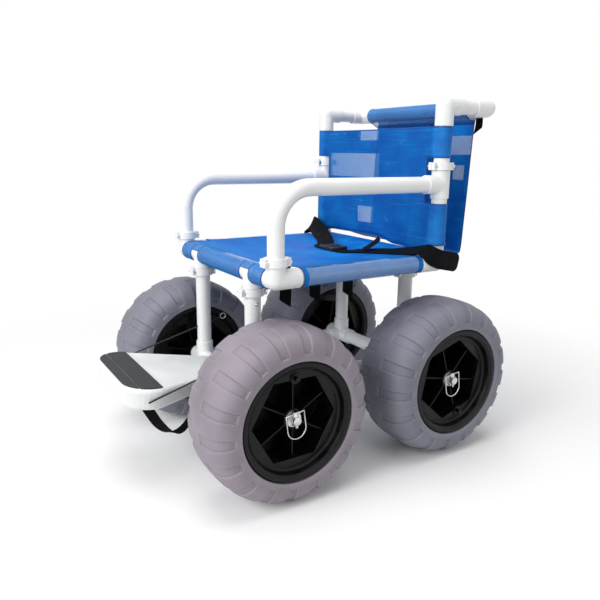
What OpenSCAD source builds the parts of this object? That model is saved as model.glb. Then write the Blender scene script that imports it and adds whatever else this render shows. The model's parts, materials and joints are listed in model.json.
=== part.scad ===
// Beach wheelchair: a white plastic tube frame on four balloon wheels, with a sling seat and back,
// swing-away armrests, a fold-up footrest on cords and a pouch behind the back.
// Millimetres, +Z up. The chair faces -Y. The origin is on the ground under the middle of its box.

/* [Wheels] */
// Radius of a tyre over its crown
wheel_r = 210; // [195:1:225]
// Width of a tyre at its widest
tyre_w = 186; // [176:1:200]
// Thickness of the tyre's wall
tyre_wall = 7; // [5:0.5:9]
// Depth of the tread's slots
slot_depth = 4; // [2:0.5:5]
// Slots on each side of a tyre
slot_count = 18; // [12:1:22]
// Width of one slot as an angle
slot_angle = 11; // [8:0.5:13]
// Radius of the rim over its flanges
rim_r = 142; // [134:1:150]
// Width of the rim over its flanges
rim_w = 182; // [172:1:190]
// Depth from a flange to the face of the dish
dish_depth = 23; // [18:1:30]
// Circumradius of the six-sided pocket
pocket_r = 109; // [98:1:112]
// Thickness of the rim's walls
rim_wall = 6; // [5:0.5:7]
// Outer radius of the hub
hub_r = 24; // [22:0.5:28]
// Reach of the hub from the wheel's middle plane towards the frame
hub_in = 73; // [68:1:80]
// Reach of the hub from the wheel's middle plane outwards
hub_out = 60; // [54:1:64]
// Diameter of the axle rods
axle_d = 20; // [18:0.5:22]

/* [Frame] */
// Outer diameter of the frame tube
tube_d = 40; // [38:0.5:42]
// Wall of the frame tube
tube_wall = 3.5; // [2.5:0.25:4.5]
// Wall of the fittings
fit_wall = 3.35; // [2.5:0.1:4.5]
// Distance between the front and rear axles
wheelbase = 490; // [460:5:540]
// Distance between the axes of the side rails
seat_w = 524; // [500:2:560]
// Distance of a leg's axis inside the side rail's axis
leg_inset = 112; // [100:1:120]
// Height of the seat rails
seat_z = 514; // [490:2:550]
// Height of the armrests above the seat rails
arm_rise = 204; // [180:2:240]
// Height of the push handle above the armrests
handle_rise = 195; // [170:2:240]
// Reach of the push handle behind the back posts
handle_reach = 150; // [140:2:180]
// Radius of the bend in an armrest
arm_bend_r = 88; // [60:1:100]
// Arm length of the axle crosses
cross_arm = 52; // [48:1:58]
// Arm length of the leg tees
tee_arm = 38; // [34:1:46]
// Arm length of the handle elbows
elbow_arm = 50; // [44:1:58]
// Half length of the armrest tees
arm_tee_half = 36; // [32:1:42]
// Height of a clamp collar
collar_h = 19; // [15:0.5:24]

/* [Footrest] */
// Length of the board from the front axle
board_l = 323; // [300:1:350]
// Width of the board at its front
board_front_w = 314; // [290:2:330]
// Width of the board at its rear
board_rear_w = 148; // [130:2:170]
// Thickness of the board at its front
board_front_t = 54; // [46:1:58]
// Thickness of the board at its rear
board_rear_t = 30; // [28:1:34]
// Height of the board's top over the axle, at the axle
board_h = 30.5; // [29:0.5:33]
// Upward tilt of the board
board_tilt = 5.7; // [4:0.1:7]
// Radius of the board's front corners
board_corner_r = 68; // [50:1:80]

/* [Cloth] */
// Thickness of the sling cloth
cloth_t = 2; // [1.5:0.25:3]
// Sag of the seat across its width
seat_sag = 14; // [8:1:20]
// Sag of the back across its width
back_sag = 30; // [20:1:40]
// Width of the belt's webbing
belt_w = 50; // [40:1:54]
// Width of the straps under the seat
strap_w = 38; // [30:1:44]

/* [Hidden] */
$fn = 64;

// Clearances and overrun
cut = 1;
socket_gap = 0.15;
run_gap = 0.05;
end_gap = 0.5;
face_gap = 0.3;
play = 0.4;

// Tube and fitting sizes
tube_r = tube_d / 2;
tube_id = tube_d - 2 * tube_wall;
socket_d = tube_d + 2 * socket_gap;
fit_d = socket_d + 2 * fit_wall;
tube_stop = tube_r + 2 * socket_gap + fit_wall / 2;
corner_grip_x = 14;
corner_grip_y = 38;
corner_grip_z = 9;
corner_arm_x = tube_stop + corner_grip_x;
corner_arm_y = tube_stop + corner_grip_y;
corner_arm_z = tube_stop + corner_grip_z;
leg_tee_half = 38;
arm_tee_arm = 54;

// Hub, bush and axle sizes
axle_r = axle_d / 2;
bush_wall = 5;
bush_flange = 3;
bush_flange_w = 4;
bush_l = 26;
washer_t = 2.6;
washer_w = 8;
lock_pin_d = 8;
lock_pin_grip = 18;
lock_pin_tilt = 8;
axle_tail = 8;
head_d = 13;
head_h = 12;
wire_d = 3;
bail_half_w = 24;
bail_l = 38;
reducer_l = 32;

// Places along X
side_x = seat_w / 2;
leg_x = side_x - leg_inset;
wheel_x = leg_x + cross_arm + washer_t + play + bush_flange + hub_in;
pin_x = wheel_x + hub_out + bush_flange + play + washer_t + face_gap + head_d / 2;
axle_half = pin_x + axle_tail;

// Places along Y, worked out so that the origin is under the middle of the box
board_edge_r = 10;
board_reach = (board_l - board_edge_r) * cos(board_tilt)
    - (board_h - board_edge_r) * sin(board_tilt) + board_edge_r;
front_y = -(wheelbase + wheel_r - board_reach) / 2;
rear_y = front_y + wheelbase;
bar_y = rear_y + handle_reach;
axle_z = wheel_r;
arm_z = seat_z + arm_rise;
handle_z = arm_z + handle_rise;

// Tyre section
tyre_half = tyre_w / 2;
flange_t = 8;
rim_half = rim_w / 2;
bead_half = rim_half - flange_t - socket_gap;
flange_h = 13;
barrel_r = rim_r - flange_h;
bead_r = barrel_r + socket_gap;
bead_t = 12;
bead_lip = 1.5;
shoulder_r = rim_r + bead_lip;
section_power = 3.1;
section_steps = 20;
slot_steps = 6;
slot_from = 10;
slot_to = 86;

// Rim details
plate_t = 5;
web_t = 6;
rib_t = 3.5;
rib_drop = 9;
valve_boss_r = 13;
valve_boss_at_share = 0.91;
valve_d = 8;
valve_l = 30;
valve_cap_d = 11;
valve_cap_l = 10;
lip_h = 3;

// Collars and bolts
collar_wall = 8;
collar_split = 1.2;
ear_l = 6;
ear_t = 22;
bolt_d = 4;
bolt_head_d = 7.5;
bolt_head_h = 3.5;
nut_d = 8;

// Snap buttons
button_d = 9;
button_proud = 4.5;
button_nose = 2.25;
button_flange_d = 13;
button_flange_t = 2;
button_gap = 0.1;
button_set = 6;
button_foot_x = tube_id / 2 - button_set;
button_drop = 19;
button_z = seat_z - tee_arm - collar_h - button_drop;
spigot_wall = 3;
spigot_up = 40;
spigot_down = 28;
leaf_t = 0.8;
leaf_w = 8;
leaf_up = 5;
leaf_down = 18;

// Footrest details
board_low_edge_r = 13;
board_low_inset = 7;
board_axle_gap = 7;
board_rear_gap = tube_r + board_axle_gap;
board_rear_corner_r = 14;
pad_t = 2.5;
pad_inset = 7;
pad_rear_at = 236;
pad_split_at = 288;
pad_split = 2.5;
clip_at_share = 0.46;
clip_x = clip_at_share * (leg_x - cross_arm);
clip_w = 30;
clip_wall = 5;
tongue_t = 12;
tongue_l = 46;
tongue_z = 12;

// Left footrest cord from its front end to its ring, measured from the leg at the front axle
cord_d = 4;
cord_sides = 8;
cord_points = [
    [6, -270, 27], [5.5, -250, 32.5], [4.5, -205, 44.8], [3.5, -160, 57.1], [2.5, -110, 70.7],
    [1.5, -60, 84.4], [1, -30, 92.6], [0.5, 5, 102.2], [0, 30, 109], [0, 50, 114.5]
];
cord_route = [for (p = cord_points) [leg_x, front_y, axle_z] + p];
cord_hole_gap = 0.7;
cord_hole_d = cord_d + 2 * cord_hole_gap;
ring_r = 8;
ring_wire_d = 2.5;

// Sling details
sleeve_gap = 0.5;
side_sleeve_r = tube_r + sleeve_gap;
front_sleeve_r = fit_d / 2 + sleeve_gap;
seat_sleeve_front = 4;
seat_sleeve_rear = 4;
tee_notch_half = fit_d / 2 + sleeve_gap;
tee_notch_z = 12;
notch_gap = 2;
front_sleeve_half = side_x - fit_d / 2 - notch_gap;
panel_z = seat_z + side_sleeve_r + cloth_t / 2;
seat_rear_gap = 9;
back_top_gap = 2;
back_bottom_gap = 17;
back_top_z = handle_z - elbow_arm - back_top_gap;
back_bottom_z = seat_z + corner_arm_z + back_bottom_gap;
back_notch_top_gap = 12;
back_notch_low_gap = 14;
back_notch_in = 40;

// Pouch details
pouch_side_gap = 5;
pouch_w = seat_w - 2 * (elbow_arm + pouch_side_gap);
pouch_loop_r = tube_r + face_gap + cloth_t / 2;
pouch_slack = 5;
pouch_seam_drop = 36;
pouch_seam_back = 20;
pouch_lean = 18;
pouch_rise = 4;
pouch_bottom_z = seat_z + pouch_rise;
pouch_floor_rise = 15;
pouch_corner = 12;
pouch_hem = 15;
loop_turn = 220;
loop_steps = 12;

// Webbing details
web_strap_t = 2;
tail_x = -16;
tail_drop = 152;
tail_t = 2;
strap_at_shares = [0.39, 0.60, 0.84];
pull_strap_w = 25;
pull_strap_drop = 84;
pull_strap_shares = [
    [0.69, 0.80, 0], [0.69, 0.80, 0.06], [0.68, 0.76, 0.30], [0.665, 0.70, 0.62], [0.64, 0.62, 0.90],
    [0.61, 0.54, 1], [0.57, 0.465, 0.86], [0.54, 0.41, 0.5]
];
pull_strap_end_shares = [0.53, 0.39];
pull_strap_turns = [73, 73, 71, 63, 49, 29, 11, 0, 0];
belt_t = 2;
belt_lift = belt_t / 2 + 2 * face_gap;
belt_shares = [[0.30, 0.76], [0.46, 0.82], [0.62, 0.86], [0.78, 0.895]];
belt_side_share = 0.893;
belt_buckle_share = 0.70;
belt_wrap_r = fit_d / 2 + belt_t + 2 * face_gap;
belt_top_angles = [115, 92, 69];
belt_drape = [
    // Angle round the rail, reach to the rear, drop, reach outwards and lean of the width
    [46, 4, 0, 0.3, 0.15], [23, 11, 0, 1, 0.4], [0, 22, 0, 2.5, 0.8], [0, 48, 5, 4, 1.2], [0, 80, 14, 5, 1.5]
];
buckle_l = 62;
buckle_w = 58;
buckle_t = 13;
buckle_corner_r = 8;

// Colours
pvc = [0.93, 0.94, 0.94];
mesh_blue = [0.10, 0.38, 0.80];
rubber_grey = [0.45, 0.44, 0.49];
rim_black = [0.06, 0.06, 0.07];
steel = [0.70, 0.71, 0.72];
webbing = [0.05, 0.05, 0.06];
pad_grey = [0.22, 0.23, 0.25];

// Basic shapes

// Copies its children to the other side of the chair as well
module both_sides() {
    children();
    mirror([1, 0, 0]) children();
}

// Turns +Z to +X, +Y or +Z for axis 0, 1 or 2
module along(axis) {
    rotate(axis == 0 ? [0, 90, 0] : axis == 1 ? [-90, 0, 0] : [0, 0, 0]) children();
}

// Round bar from a point along an axis
module bar(from, axis, len, d) {
    translate(from) along(axis) cylinder(d = d, h = len);
}

// Tube from a point along an axis
module pipe(from, axis, len, od, id) {
    translate(from) along(axis) difference() {
        cylinder(d = od, h = len);
        translate([0, 0, -cut]) cylinder(d = id, h = len + 2 * cut);
    }
}

// Frame tube from a point along an axis
module frame_tube(from, axis, len) {
    pipe(from, axis, len, tube_d, tube_id);
}

// Outer shape of one fitting arm that points along an axis, or against it where side is -1
module arm_out(axis, side, len) {
    along(axis) mirror([0, 0, side < 0 ? 1 : 0]) cylinder(d = fit_d, h = len);
}

// Socket of that arm, from the tube's stop to the arm's mouth
module arm_bore(axis, side, len, from = tube_stop) {
    along(axis) mirror([0, 0, side < 0 ? 1 : 0])
        translate([0, 0, from]) cylinder(d = socket_d, h = len - from + cut);
}

// Fitting with a ball at its middle: a list of [axis, side, length] arms
module fitting(arms) {
    difference() {
        union() {
            sphere(d = fit_d);
            for (a = arms) arm_out(a[0], a[1], a[2]);
        }
        for (a = arms) arm_bore(a[0], a[1], a[2]);
    }
}

// Fitting on a tube that runs through it along an axis, with branch arms
module run_fitting(axis, half, bore, arms) {
    difference() {
        union() {
            along(axis) translate([0, 0, -half]) cylinder(d = fit_d, h = 2 * half);
            for (a = arms) arm_out(a[0], a[1], a[2]);
        }
        along(axis) translate([0, 0, -half - cut]) cylinder(d = bore, h = 2 * (half + cut));
        for (a = arms) arm_bore(a[0], a[1], a[2]);
    }
}

// Triangles that join m rings of n points each into one closed skin
function skin_faces(n, m) = concat(
    [for (i = [0:m - 2], j = [0:n - 1]) each
        let (a = i * n + j, b = i * n + (j + 1) % n, c = a + n, d = b + n) [[a, c, d], [a, d, b]]],
    [for (j = [1:n - 2]) [0, j, j + 1]],
    [for (j = [1:n - 2]) let (o = (m - 1) * n) [o, o + j + 1, o + j]]);

function unit(v) = v / norm(v);

// Direction of a route at one of its points
function heading(route, i) = unit(route[min(i + 1, len(route) - 1)] - route[max(i - 1, 0)]);

// Part of a direction that is square to another
function square_to(v, t) = unit(v - (v * t) * t);

// Round cord along a route
module cord(route, d, sides) {
    rings = [for (i = [0:len(route) - 1], j = [0:sides - 1])
        let (t = heading(route, i), a = square_to([1, 0, 0], t), b = cross(t, a), w = 360 * j / sides)
            route[i] + d / 2 * (cos(w) * a + sin(w) * b)];
    polyhedron(points = rings, faces = skin_faces(sides, len(route)), convexity = 4);
}

// Flat ribbon along a route of [point, direction of its width] pairs
module ribbon(route, w, t) {
    path = [for (p = route) p[0]];
    rings = [for (i = [0:len(path) - 1], c = [[-1, -1], [1, -1], [1, 1], [-1, 1]])
        let (dir = heading(path, i), a = square_to(route[i][1], dir), b = cross(dir, a))
            path[i] + c[0] * w / 2 * a + c[1] * t / 2 * b];
    polyhedron(points = rings, faces = skin_faces(4, len(path)), convexity = 6);
}

// Wheels

// Places a wheel piece that was drawn round +Z, with its outer face up
module at_wheel(end_y, side, turn) {
    translate([side * wheel_x, end_y, axle_z]) mirror([side < 0 ? 1 : 0, 0, 0])
        rotate([0, 90, 0]) rotate([0, 0, turn]) children();
}

// Point of the tyre's section at an angle from one side over the crown to the other
function section(angle, grow) =
    let (c = cos(angle), s = sin(angle), p = 2 / section_power)
        [shoulder_r + (wheel_r - shoulder_r + grow) * pow(s, p),
         (tyre_half + grow) * sign(c) * pow(abs(c), p)];

// Room of one slot in the tread
module slot() {
    step = (slot_to - slot_from) / slot_steps;
    rotate_extrude(angle = slot_angle) polygon(concat(
        [for (i = [0:slot_steps]) section(slot_from + i * step, cut)],
        [for (i = [slot_steps:-1:0]) section(slot_from + i * step, -slot_depth)]));
}

module tyre(end_y, side, turn) {
    step = 180 / section_steps;
    color(rubber_grey) at_wheel(end_y, side, turn) difference() {
        rotate_extrude() polygon(concat(
            [[bead_r, bead_half], [shoulder_r, bead_half]],
            [for (i = [0:section_steps]) section(i * step, 0)],
            [[shoulder_r, -bead_half], [bead_r, -bead_half], [bead_r, bead_t - bead_half]],
            [for (i = [section_steps:-1:0])
                section(i * step, -tyre_wall - (i % section_steps == 0 ? bead_t : 0))],
            [[bead_r, bead_half - bead_t]]));
        for (i = [0:slot_count - 1]) {
            rotate([0, 0, 360 * i / slot_count]) slot();
            rotate([0, 0, 360 * (i + 1 / 2) / slot_count]) mirror([0, 0, 1]) slot();
        }
    }
}

// Bar with six sides round the wheel's axis, as deep as the pocket
module pocket_bar(r, h) {
    cylinder(r = r, h = h, center = true, $fn = 6);
}

module rim(end_y, side, turn) {
    face = rim_half - dish_depth;
    wall_r = pocket_r + rim_wall;
    valve_at = pocket_r * valve_boss_at_share;
    color(rim_black) at_wheel(end_y, side, turn) difference() {
        union() {
            // Barrel and flanges
            rotate_extrude() polygon([
                [barrel_r - rim_wall, -rim_half + lip_h], [barrel_r, -rim_half], [rim_r - lip_h, -rim_half],
                [rim_r, -rim_half + lip_h], [rim_r, -rim_half + flange_t], [barrel_r, -rim_half + flange_t],
                [barrel_r, rim_half - flange_t], [rim_r, rim_half - flange_t], [rim_r, rim_half - lip_h],
                [rim_r - lip_h, rim_half], [barrel_r, rim_half], [barrel_r - rim_wall, rim_half - lip_h]]);
            // Dish faces with the six-sided pocket, and its wall
            difference() {
                union() {
                    for (s = [-1, 1])
                        translate([0, 0, s * (face - plate_t / 2)])
                            cylinder(r = barrel_r - rim_wall / 2, h = plate_t, center = true);
                    pocket_bar(wall_r, 2 * face - plate_t);
                }
                pocket_bar(pocket_r, 2 * (face + cut));
            }
            // Web, ribs and hub
            cylinder(r = pocket_r, h = web_t, center = true);
            for (i = [0:5])
                rotate([0, 0, 60 * i + 30]) translate([0, -rib_t / 2, rib_drop - face])
                    cube([pocket_r * cos(30) + rim_wall / 2, rib_t, 2 * (face - rib_drop)]);
            translate([0, 0, -hub_in]) cylinder(r = hub_r, h = hub_in + hub_out);
            rotate([0, 0, 30]) translate([valve_at, 0, 0]) cylinder(r = valve_boss_r, h = face + lip_h);
        }
        translate([0, 0, -hub_in - cut])
            cylinder(d = axle_d + 2 * (run_gap + bush_wall + run_gap), h = hub_in + hub_out + 2 * cut);
        rotate([0, 0, 30]) translate([valve_at, 0, web_t]) cylinder(d = valve_d + 2 * run_gap, h = rim_w);
    }
}

module bush() {
    difference() {
        union() {
            cylinder(d = axle_d + 2 * (run_gap + bush_wall), h = bush_l);
            translate([0, 0, -bush_flange])
                cylinder(d = axle_d + 2 * (run_gap + bush_wall + bush_flange_w), h = bush_flange);
        }
        translate([0, 0, -bush_flange - cut])
            cylinder(d = axle_d + 2 * run_gap, h = bush_l + bush_flange + 2 * cut);
    }
}

module bushes(end_y, side) {
    color("gainsboro") at_wheel(end_y, side, 0) {
        translate([0, 0, -hub_in]) bush();
        translate([0, 0, hub_out]) mirror([0, 0, 1]) bush();
    }
}

module valve(end_y, side, turn) {
    face = rim_half - dish_depth;
    top = face + lip_h;
    color(steel) at_wheel(end_y, side, turn) rotate([0, 0, 30])
        translate([pocket_r * valve_boss_at_share, 0, 0]) {
            translate([0, 0, top + valve_cap_l - valve_l])
                cylinder(d = valve_d, h = valve_l - valve_cap_l / 2);
            translate([0, 0, top]) cylinder(d = valve_cap_d, h = valve_cap_l);
        }
}

// Places a lock pin piece at an axle end: local +Z is the pin, local +X points outboard
module at_lock_pin(end_y, side) {
    translate([side * pin_x, end_y, axle_z]) mirror([side < 0 ? 1 : 0, 0, 0])
        rotate([lock_pin_tilt, 0, 0]) children();
}

head_z = axle_r + face_gap;
bail_z = head_z + head_h / 2;

module lock_pins() {
    color(steel) for (end_y = [front_y, rear_y], side = [-1, 1]) at_lock_pin(end_y, side) difference() {
        union() {
            translate([0, 0, -lock_pin_grip]) cylinder(d = lock_pin_d, h = lock_pin_grip + head_z + cut);
            translate([0, 0, head_z]) cylinder(d = head_d, h = head_h);
        }
        translate([0, -head_d, bail_z]) along(1) cylinder(d = wire_d + 2 * run_gap, h = 2 * head_d);
    }
}

module bail(end_y, side) {
    color(steel) at_lock_pin(end_y, side) translate([0, 0, bail_z]) {
        bar([0, -bail_half_w, 0], 1, 2 * bail_half_w, wire_d);
        for (s = [-1, 1]) translate([0, s * bail_half_w, 0]) {
            sphere(d = wire_d);
            translate([0, 0, -bail_l]) cylinder(d = wire_d, h = bail_l);
        }
        translate([0, 0, -bail_l]) rotate([0, 90, 0]) rotate([0, 0, -90])
            rotate_extrude(angle = 180) translate([bail_half_w, 0]) circle(d = wire_d);
    }
}

// Axles and what carries them

module axles() {
    color(steel) for (end_y = [front_y, rear_y]) difference() {
        bar([-axle_half, end_y, axle_z], 0, 2 * axle_half, axle_d);
        for (side = [-1, 1]) at_lock_pin(end_y, side)
            translate([0, 0, -axle_d]) cylinder(d = lock_pin_d + 2 * socket_gap, h = 2 * axle_d);
    }
}

module axle_tubes() {
    half = leg_x + cross_arm;
    color(pvc) for (end_y = [front_y, rear_y]) frame_tube([-half, end_y, axle_z], 0, 2 * half);
}

module axle_reducers() {
    end_x = leg_x + cross_arm;
    color(pvc) both_sides() for (end_y = [front_y, rear_y])
        pipe([end_x - reducer_l, end_y, axle_z], 0, reducer_l,
             tube_id - 2 * socket_gap, axle_d + 2 * socket_gap);
}

module axle_washers() {
    od = axle_d + 2 * washer_w;
    id = axle_d + 2 * socket_gap;
    outer_x = wheel_x + hub_out + bush_flange + play;
    color(steel) both_sides() for (end_y = [front_y, rear_y], x = [leg_x + cross_arm, outer_x])
        pipe([x, end_y, axle_z], 0, washer_t, od, id);
}

module axle_crosses() {
    color(pvc) both_sides() for (end = [[front_y, 1], [rear_y, -1]])
        translate([leg_x, end[0], axle_z])
            run_fitting(0, cross_arm, socket_d, [[2, 1, cross_arm], [1, end[1], cross_arm]]);
}

module lower_side_rails() {
    gap = tube_stop + end_gap;
    color(pvc) both_sides() frame_tube([leg_x, front_y + gap, axle_z], 1, wheelbase - 2 * gap);
}

// Legs

// Hole for a snap button through the outer wall of the left front leg
module button_hole() {
    bar([leg_x, front_y, button_z], 0, tube_d, button_d + 2 * button_gap);
}

// Hole for a footrest cord through the left front leg
module cord_hole(from, to, d) {
    aim = to - from;
    translate(from) rotate([0, atan2(norm([aim.x, aim.y]), aim.z), atan2(aim.y, aim.x)])
        cylinder(d = d, h = norm(aim));
}

cord_last = len(cord_route) - 1;
leg_hole_from = cord_route[cord_last - 3];
leg_hole_to = cord_route[cord_last];

module legs() {
    gap = tube_stop + end_gap;
    length = seat_z - axle_z - 2 * gap;
    color(pvc) both_sides() {
        difference() {
            frame_tube([leg_x, front_y, axle_z + gap], 2, length);
            button_hole();
            cord_hole(leg_hole_from, leg_hole_to, cord_hole_d);
        }
        frame_tube([leg_x, rear_y, axle_z + gap], 2, length);
    }
}

module leg_tees() {
    color(pvc) both_sides() for (end_y = [front_y, rear_y])
        translate([leg_x, end_y, seat_z]) run_fitting(0, leg_tee_half, socket_d, [[2, -1, tee_arm]]);
}

spigot_d = tube_id - 2 * socket_gap;

module leg_spigots() {
    color(pvc) both_sides() difference() {
        pipe([leg_x, front_y, button_z - spigot_down], 2, spigot_down + spigot_up,
             spigot_d, spigot_d - 2 * spigot_wall);
        button_hole();
    }
}

module snap_button(side) {
    out = tube_r + button_proud;
    color(steel) translate([side * leg_x, front_y, button_z]) mirror([side < 0 ? 1 : 0, 0, 0]) {
        bar([button_foot_x, 0, 0], 0, out - button_foot_x - button_nose, button_d);
        translate([out - button_nose, 0, 0]) along(0)
            cylinder(d1 = button_d, d2 = button_d / 2, h = button_nose);
        bar([button_foot_x - button_flange_t, 0, 0], 0, button_flange_t, button_flange_d);
    }
}

module button_springs() {
    near_x = button_foot_x - button_flange_t - leaf_t;
    bore_r = spigot_d / 2 - spigot_wall;
    far_x = -sqrt(bore_r * bore_r - leaf_w * leaf_w / 4) + socket_gap;
    color(steel) both_sides() translate([leg_x, front_y - leaf_w / 2, button_z - leaf_down]) {
        translate([near_x, 0, 0]) cube([leaf_t, leaf_w, leaf_down + leaf_up]);
        translate([far_x, 0, 0]) cube([leaf_t, leaf_w, leaf_down + leaf_up]);
        translate([far_x, 0, 0]) cube([near_x - far_x + leaf_t, leaf_w, leaf_t]);
    }
}

// Seat frame

module seat_rails() {
    gap = tube_stop + end_gap;
    color(pvc) {
        for (end_y = [front_y, rear_y])
            frame_tube([gap - side_x, end_y, seat_z], 0, seat_w - 2 * gap);
        both_sides() frame_tube([side_x, front_y + gap, seat_z], 1, wheelbase - 2 * gap);
    }
}

module seat_corners() {
    color(pvc) both_sides() for (end = [[front_y, 1], [rear_y, -1]])
        translate([side_x, end[0], seat_z])
            fitting([[0, -1, corner_arm_x], [1, end[1], corner_arm_y], [2, 1, corner_arm_z]]);
}

// Clamp collars

// Two half rings with ears along Y, bolted along X
module collar() {
    od = tube_d + 2 * (socket_gap + collar_wall);
    ear_y = od / 2 + ear_l;
    difference() {
        union() {
            cylinder(d = od, h = collar_h);
            translate([-ear_t / 2, -ear_y, 0]) cube([ear_t, 2 * ear_y, collar_h]);
        }
        translate([0, 0, -cut]) cylinder(d = socket_d, h = collar_h + 2 * cut);
        translate([-collar_split / 2, -ear_y - cut, -cut])
            cube([collar_split, 2 * (ear_y + cut), collar_h + 2 * cut]);
        collar_bolt_places() translate([0, 0, -ear_t]) cylinder(d = bolt_d + 2 * socket_gap, h = 2 * ear_t);
    }
}

// Places along the bolts of a collar: local +Z points outboard
module collar_bolt_places() {
    for (s = [-1, 1])
        translate([0, s * (tube_d / 2 + socket_gap + collar_wall + ear_l / 2), collar_h / 2])
            rotate([0, 90, 0]) children();
}

module bolts_of_collar() {
    collar_bolt_places() {
        translate([0, 0, -ear_t / 2 - bolt_head_h]) cylinder(d = bolt_d, h = ear_t + 2 * bolt_head_h);
        translate([0, 0, ear_t / 2]) cylinder(d = bolt_head_d, h = bolt_head_h);
        translate([0, 0, -ear_t / 2 - bolt_head_h]) cylinder(d = nut_d, h = bolt_head_h, $fn = 6);
    }
}

// Places of the collars that stay with the frame
module frame_collar_places() {
    both_sides() {
        for (end_y = [front_y, rear_y])
            translate([leg_x, end_y, seat_z - tee_arm - collar_h]) children();
        translate([side_x, rear_y, arm_z + arm_tee_half + play]) children();
    }
}

module clamp_collars() {
    color(pvc) frame_collar_places() collar();
}

module collar_bolts() {
    color(steel) frame_collar_places() bolts_of_collar();
}

// Armrests

foot_z = seat_z + corner_arm_z + play;

// Path of an armrest from its foot, up, round the bend and back to the tee
module arm_path(d, grow) {
    reach = wheelbase - tube_stop - end_gap;
    rise = arm_z - foot_z - arm_bend_r;
    translate([0, 0, -grow]) cylinder(d = d, h = rise + grow);
    translate([0, arm_bend_r, rise]) rotate([0, -90, 0]) rotate([0, 0, -90])
        rotate_extrude(angle = 90) translate([arm_bend_r, 0]) circle(d = d);
    bar([0, arm_bend_r, rise + arm_bend_r], 1, reach - arm_bend_r + grow, d);
}

module at_arm(side, x, y, z) {
    mirror([side < 0 ? 1 : 0, 0, 0]) translate([x, y, z]) children();
}

module armrest_tube(side) {
    color(pvc) at_arm(side, side_x, front_y, foot_z) difference() {
        arm_path(tube_d, 0);
        arm_path(tube_id, cut);
    }
}

module armrest_tee(side) {
    color(pvc) at_arm(side, side_x, rear_y, arm_z)
        run_fitting(2, arm_tee_half, tube_d + 2 * run_gap, [[1, -1, arm_tee_arm]]);
}

module foot_collar(side) {
    at_arm(side, side_x, front_y, foot_z) {
        color(pvc) collar();
        color(steel) bolts_of_collar();
    }
}

// Back and push handle

module back_posts() {
    gap = tube_stop + end_gap;
    color(pvc) both_sides() frame_tube([side_x, rear_y, seat_z + gap], 2, handle_z - seat_z - 2 * gap);
}

module handle_elbows() {
    color(pvc) both_sides() {
        translate([side_x, rear_y, handle_z]) fitting([[2, -1, elbow_arm], [1, 1, elbow_arm]]);
        translate([side_x, bar_y, handle_z]) fitting([[1, -1, elbow_arm], [0, -1, elbow_arm]]);
    }
}

module handle_side_tubes() {
    gap = tube_stop + end_gap;
    color(pvc) both_sides() frame_tube([side_x, rear_y + gap, handle_z], 1, handle_reach - 2 * gap);
}

module push_bar() {
    gap = tube_stop + end_gap;
    color(pvc) frame_tube([gap - side_x, bar_y, handle_z], 0, seat_w - 2 * gap);
}

// Footrest

// Places footrest pieces: local origin on the front axle, the board's top is flat and level
module at_footrest() {
    translate([0, front_y, axle_z]) rotate([-board_tilt, 0, 0]) children();
}

// Middles of the board's corners as [x, y, radius]
front_corner = [board_front_w / 2 - board_corner_r, board_corner_r - board_l, board_corner_r];
rear_corner = [board_rear_w / 2 - board_rear_corner_r, -board_rear_gap - board_rear_corner_r,
               board_rear_corner_r];

// Round edge at a corner of the board
module board_edge(corner, z, edge_r, inset) {
    for (s = [-1, 1]) translate([s * corner[0], corner[1], z])
        rotate_extrude($fn = 32) translate([max(corner[2] - inset - edge_r, 0), 0])
            intersection() {
                circle(r = edge_r, $fn = 32);
                translate([0, -edge_r]) square([edge_r, 2 * edge_r]);
            }
}

module footrest_board() {
    rear_edge_r = board_rear_corner_r - 2 * end_gap;
    color("white") at_footrest() difference() {
        hull() {
            board_edge(front_corner, board_h - board_edge_r, board_edge_r, 0);
            board_edge(front_corner, board_h - board_front_t + board_low_edge_r, board_low_edge_r,
                       board_low_inset);
            board_edge(rear_corner, board_h - board_edge_r, board_edge_r, 0);
            board_edge(rear_corner, board_h - board_rear_t + rear_edge_r, rear_edge_r, 0);
        }
        for (s = [-1, 1])
            translate([s * clip_x - clip_w / 2 - socket_gap, -board_rear_gap - tongue_l,
                       tongue_z - tongue_t / 2 - socket_gap])
                cube([clip_w + 2 * socket_gap, tongue_l + cut, tongue_t + 2 * socket_gap]);
        rotate([board_tilt, 0, 0]) translate([0, -front_y, -axle_z]) both_sides()
            cord_hole(cord_route[0], cord_route[2], cord_hole_d);
    }
}

module footrest_pads() {
    bands = [[pad_rear_at, pad_split_at - pad_split / 2], [pad_split_at + pad_split / 2, board_l]];
    color(pad_grey) at_footrest() translate([0, 0, board_h]) for (b = bands)
        linear_extrude(pad_t) intersection() {
            offset(delta = -pad_inset) hull()
                for (c = [front_corner, rear_corner], s = [-1, 1])
                    translate([s * c[0], c[1]]) circle(r = c[2]);
            translate([-board_front_w / 2, -b[1]]) square([board_front_w, b[1] - b[0]]);
        }
}

module footrest_clips() {
    od = tube_d + 2 * (run_gap + clip_wall);
    color(rim_black) at_footrest() for (s = [-1, 1])
        translate([s * clip_x - clip_w / 2, 0, 0]) difference() {
        union() {
            along(0) cylinder(d = od, h = clip_w);
            translate([0, -board_rear_gap - tongue_l + end_gap, tongue_z - tongue_t / 2])
                cube([clip_w, board_rear_gap + tongue_l - end_gap, tongue_t]);
        }
        translate([-cut, 0, 0]) along(0) cylinder(d = tube_d + 2 * run_gap, h = clip_w + 2 * cut);
    }
}

// Height of the board's underside at a place along it, in the board's own frame
board_low_z = board_h - board_front_t;
flat_to_y = front_corner[1] + board_corner_r - board_low_inset - board_low_edge_r;
function board_under(y) =
    board_low_z + (board_front_t - board_rear_t) * max(y - flat_to_y, 0) / (rear_corner[1] - flat_to_y);

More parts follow.
